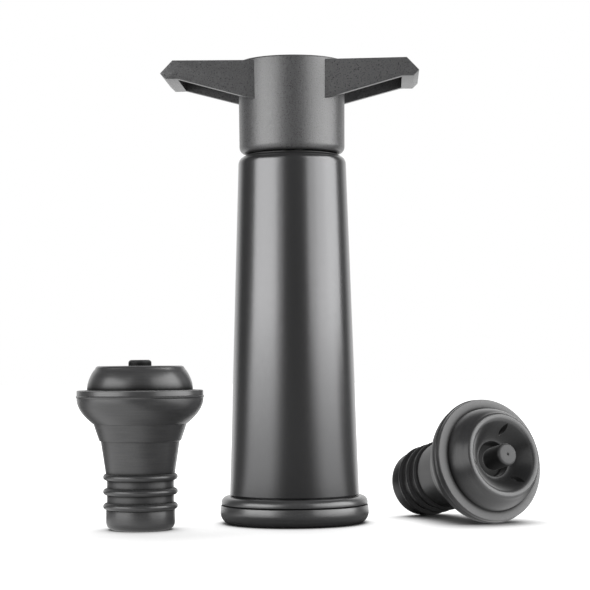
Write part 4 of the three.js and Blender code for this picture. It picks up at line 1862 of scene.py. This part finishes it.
@dataclass(frozen=True)
class Panel:
    """An upright or leaning flat light, placed by its direction from the pump's axis.

    Azimuth 0 is the camera's side and 90 the right. Lengths are metres and angles degrees. A flagged
    light is kept off the lying stopper.
    """

    name: str
    azimuth: float
    span: float
    low: float
    high: float
    radiance: float
    distance: float = 0.75
    lean: float = 0.0
    flagged: bool = False

    def build(self, axis: Vector) -> bpy.types.Object:
        """Adds the light.

        Args:
            axis: The foot of the pump's axis.

        Returns:
            The light's object.
        """
        light = bpy.data.lights.new(self.name, "AREA")
        light.shape = "RECTANGLE"
        light.size = 2 * self.distance * math.tan(math.radians(self.span / 2))
        light.size_y = self.high - self.low
        light.energy = self.radiance * math.pi * light.size * light.size_y
        made = bpy.data.objects.new(self.name, light)
        side = math.radians(self.azimuth)
        way = Vector((math.sin(side), -math.cos(side), 0.0))
        made.location = axis + way * self.distance + Vector((0, 0, (self.low + self.high) / 2))
        made.rotation_euler = Euler((math.radians(90 + self.lean), 0, side))
        made.visible_camera = False
        bpy.context.scene.collection.objects.link(made)
        return made

    @staticmethod
    def pass_by(light: bpy.types.Object, how: Linking, objects: Iterable[bpy.types.Object]) -> None:
        """Makes a light pass some objects by.

        Args:
            light: The light's object.
            how: Whether it doesn't light them, or throws no shadow of them.
            objects: The objects.
        """
        spared = bpy.data.collections.new(light.name + "_" + how.name.lower())
        for each in objects:
            spared.objects.link(each)
        for entry in spared.collection_objects:
            entry.light_linking.link_state = "EXCLUDE"
        setattr(light.light_linking, how.value, spared)


@dataclass
class Studio:
    """Floor, surroundings, soft lights and camera. Camera places are millimetres from the pump's axis."""

    image_width: float = 590.0
    focal_pixels: float = 1852.5
    sensor: float = 36.0
    nearest_seen: float = 0.01
    farthest_seen: float = 100.0
    camera_right: float = 0.53
    camera_back: float = 515.8
    camera_height: float = 45.1
    camera_tilt: float = 2.005
    camera_roll: float = 0.423
    floor_half_width: float = 3.0
    floor_colour: Colour = (0.8, 0.8, 0.8)
    floor_mirrored: Colour = (0.18, 0.18, 0.18)
    floor_lift_near: float = 0.7
    floor_lift_far: float = 1.0
    floor_near: float = 0.12
    floor_far: float = 0.45
    # How far and how strongly the painted contact shadow on the floor reaches.
    painted_shadow_reach: float = 0.014
    painted_shadow_dark: float = 0.2
    painted_shadow_light: float = 0.95
    behind_low: float = 0.55
    behind_high: float = 0.85
    beside_turn: float = 0.08
    beside_low: float = 0.3
    beside_high: float = 0.75
    beside_end: float = -0.15
    beside_cut: float = 0.2
    beside_glow: float = 1.0
    beside_near: float = 0.022
    beside_full: float = 0.07
    beside_more: float = 1.1
    beside_far: float = 0.45
    mirrored_dark: float = 0.08
    ambient: float = 0.2
    panels: tuple[Panel, ...] = (
        Panel(
            "left_softbox",
            azimuth=-58.0,
            span=52.0,
            low=0.02,
            high=0.55,
            radiance=1.8,
            flagged=True,
        ),
        Panel("left_fill", azimuth=-58.0, span=52.0, low=0.02, high=0.55, radiance=1.4),
        Panel("left_edge_strip", azimuth=-26.0, span=12.0, low=0.02, high=0.8, radiance=1.0),
        Panel("right_edge_strip", azimuth=40.5, span=19.0, low=0.02, high=0.8, radiance=1.9),
        Panel("right_middle_strip", azimuth=60.0, span=20.0, low=0.02, high=0.8, radiance=2.8),
        Panel("right_softbox", azimuth=88.0, span=36.0, low=0.02, high=0.8, radiance=3.5),
    )
    back: Panel = Panel(
        "floor_light",
        azimuth=180.0,
        span=90.0,
        low=0.6,
        high=1.6,
        radiance=3.4,
        distance=0.6,
        lean=-60.0,
    )

    def build(self, upright: Sequence[bpy.types.Object], lying: Sequence[bpy.types.Object]) -> None:
        """Sets up everything round the object. The side lights throw no shadow of the stoppers.

        Args:
            upright: The upright stopper's pieces.
            lying: The lying stopper's pieces, which a flagged light doesn't reach.
        """
        stoppers = [*upright, *lying]
        axis = axis_of("outer_sleeve").translation
        self.camera(axis)
        floor = self.floor(axis)
        self.world()
        for each in stoppers:
            each.visible_glossy = False
        for panel in self.panels:
            light = panel.build(axis)
            unlit = [floor, *lying] if panel.flagged else [floor]
            panel.pass_by(light, Linking.LIGHTS_NOT, unlit)
            panel.pass_by(light, Linking.NO_SHADOW_OF, stoppers)
        light = self.back.build(axis)
        pieces = [o for o in bpy.context.scene.objects if o.type == "MESH" and o is not floor]
        self.back.pass_by(light, Linking.LIGHTS_NOT, pieces)
        bpy.context.scene.view_settings.view_transform = "Standard"

    def camera(self, axis: Vector) -> None:
        """Adds the camera at the photograph's angle.

        Args:
            axis: The foot of the pump's axis, in metres.
        """
        data = bpy.data.cameras.new("camera")
        data.sensor_width = self.sensor
        data.lens = self.focal_pixels * self.sensor / self.image_width
        data.clip_start = self.nearest_seen
        data.clip_end = self.farthest_seen
        made = bpy.data.objects.new("camera", data)
        place = Vector((self.camera_right, -self.camera_back, self.camera_height)) * MM
        upward = Matrix.Rotation(math.radians(90 + self.camera_tilt), 4, "X")
        roll = Matrix.Rotation(math.radians(-self.camera_roll), 4, "Z")
        made.matrix_world = Matrix.Translation(axis + place) @ upward @ roll
        bpy.context.scene.collection.objects.link(made)
        bpy.context.scene.camera = made

    def floor(self, axis: Vector) -> bpy.types.Object:
        """Adds the pale floor, which shows white where no shadow falls, with a painted contact shadow
        where the objects close it in.

        Args:
            axis: The foot of the pump's axis, in metres.

        Returns:
            The floor.
        """
        mesh = bmesh.new()
        bmesh.ops.create_grid(mesh, x_segments=1, y_segments=1, size=self.floor_half_width)
        made = stored(mesh, "floor")
        material = bpy.data.materials.new("floor_paper")
        graph = Graph(material)
        rays = graph.add("ShaderNodeLightPath")
        point = graph.add("ShaderNodeTexCoord")["Object"]
        minus = {"operation": "SUBTRACT"}
        away = graph.add("ShaderNodeVectorMath", minus, {0: point, 1: axis[:]})["Vector"]
        reach = graph.add("ShaderNodeVectorMath", {"operation": "LENGTH"}, {0: away})["Value"]
        parts = graph.add("ShaderNodeSeparateXYZ", sockets={"Vector": away})
        # The floor glows only in what the pieces mirror, beside and behind them: a painted reflection,
        # which dims towards the objects as painted shade.
        aside = parts["X"] / reach - self.beside_turn
        backwards = parts["Y"] / reach
        beside = (aside * aside).above(self.beside_low**2, self.beside_high**2)
        glow = reach.above(self.beside_near, self.beside_full) * self.beside_glow
        beside = beside * (glow + reach.above(self.beside_full, self.beside_far) * self.beside_more)
        beside = beside * (1.0 - backwards.above(self.beside_end, self.beside_cut))
        behind = backwards.above(self.behind_low, self.behind_high)
        # Painted contact shadow: the camera's lift dims where the objects close the floor in, on top of
        # the real shadow of the floor light.
        openness = graph.openness(self.painted_shadow_reach, alone=False)
        shadowed_lift = openness.above(self.painted_shadow_dark, self.painted_shadow_light) * self.floor_lift_near
        far = reach.above(self.floor_near, self.floor_far)
        lift = shadowed_lift + far * (self.floor_lift_far - self.floor_lift_near)
        mirror = rays["Is Glossy Ray"] + rays["Is Transmission Ray"]
        strength = rays["Is Camera Ray"] * lift + mirror * behind.larger(beside)
        colour = graph.mix(mirror, self.floor_colour, self.floor_mirrored)
        diffuse = graph.add("ShaderNodeBsdfDiffuse", sockets={"Color": colour})["BSDF"]
        lamp = graph.add("ShaderNodeEmission", sockets={"Color": WHITE, "Strength": strength})["Emission"]
        both = graph.add("ShaderNodeAddShader", sockets={0: diffuse, 1: lamp})["Shader"]
        graph.add("ShaderNodeOutputMaterial", sockets={"Surface": both})
        made.data.materials.append(material)
        return made

    def world(self) -> None:
        """White behind the object, dark round the camera, and an even fill for the shadows."""
        world = bpy.data.worlds.new("studio")
        bpy.context.scene.world = world
        graph = Graph(world)
        rays = graph.add("ShaderNodeLightPath")
        way = graph.add("ShaderNodeTexCoord")["Generated"]
        behind = graph.add("ShaderNodeSeparateXYZ", sockets={"Vector": way})["Y"]
        behind = behind.above(self.behind_low, self.behind_high)
        glossy = rays["Is Glossy Ray"]
        seen = rays["Is Camera Ray"] + rays["Is Transmission Ray"]
        mirrored = behind * (1 - self.mirrored_dark) + self.mirrored_dark
        strength = seen + glossy * mirrored + rays["Is Diffuse Ray"] * self.ambient
        sky = graph.add("ShaderNodeBackground", sockets={"Color": WHITE, "Strength": strength})
        graph.add("ShaderNodeOutputWorld", sockets={"Surface": sky["Background"]})


def main() -> None:
    """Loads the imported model, builds and dresses each sub-assembly, and sets up the studio."""
    logging.basicConfig(level=logging.INFO, format="%(name)s %(message)s")
    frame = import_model()
    nodes = frame["nodes"]
    Barrel().build(nodes)
    Piston().build(nodes)
    Plunger().build(nodes)
    upright = Stopper(Pose.UPRIGHT, Body.UPRIGHT_STOPPER, Body.UPRIGHT_VALVE).build()
    lying = Stopper(Pose.LYING, Body.LYING_STOPPER, Body.LYING_VALVE, under_skin=0.35).build()
    Studio().build(upright, lying)


if __name__ == "__main__":
    main()
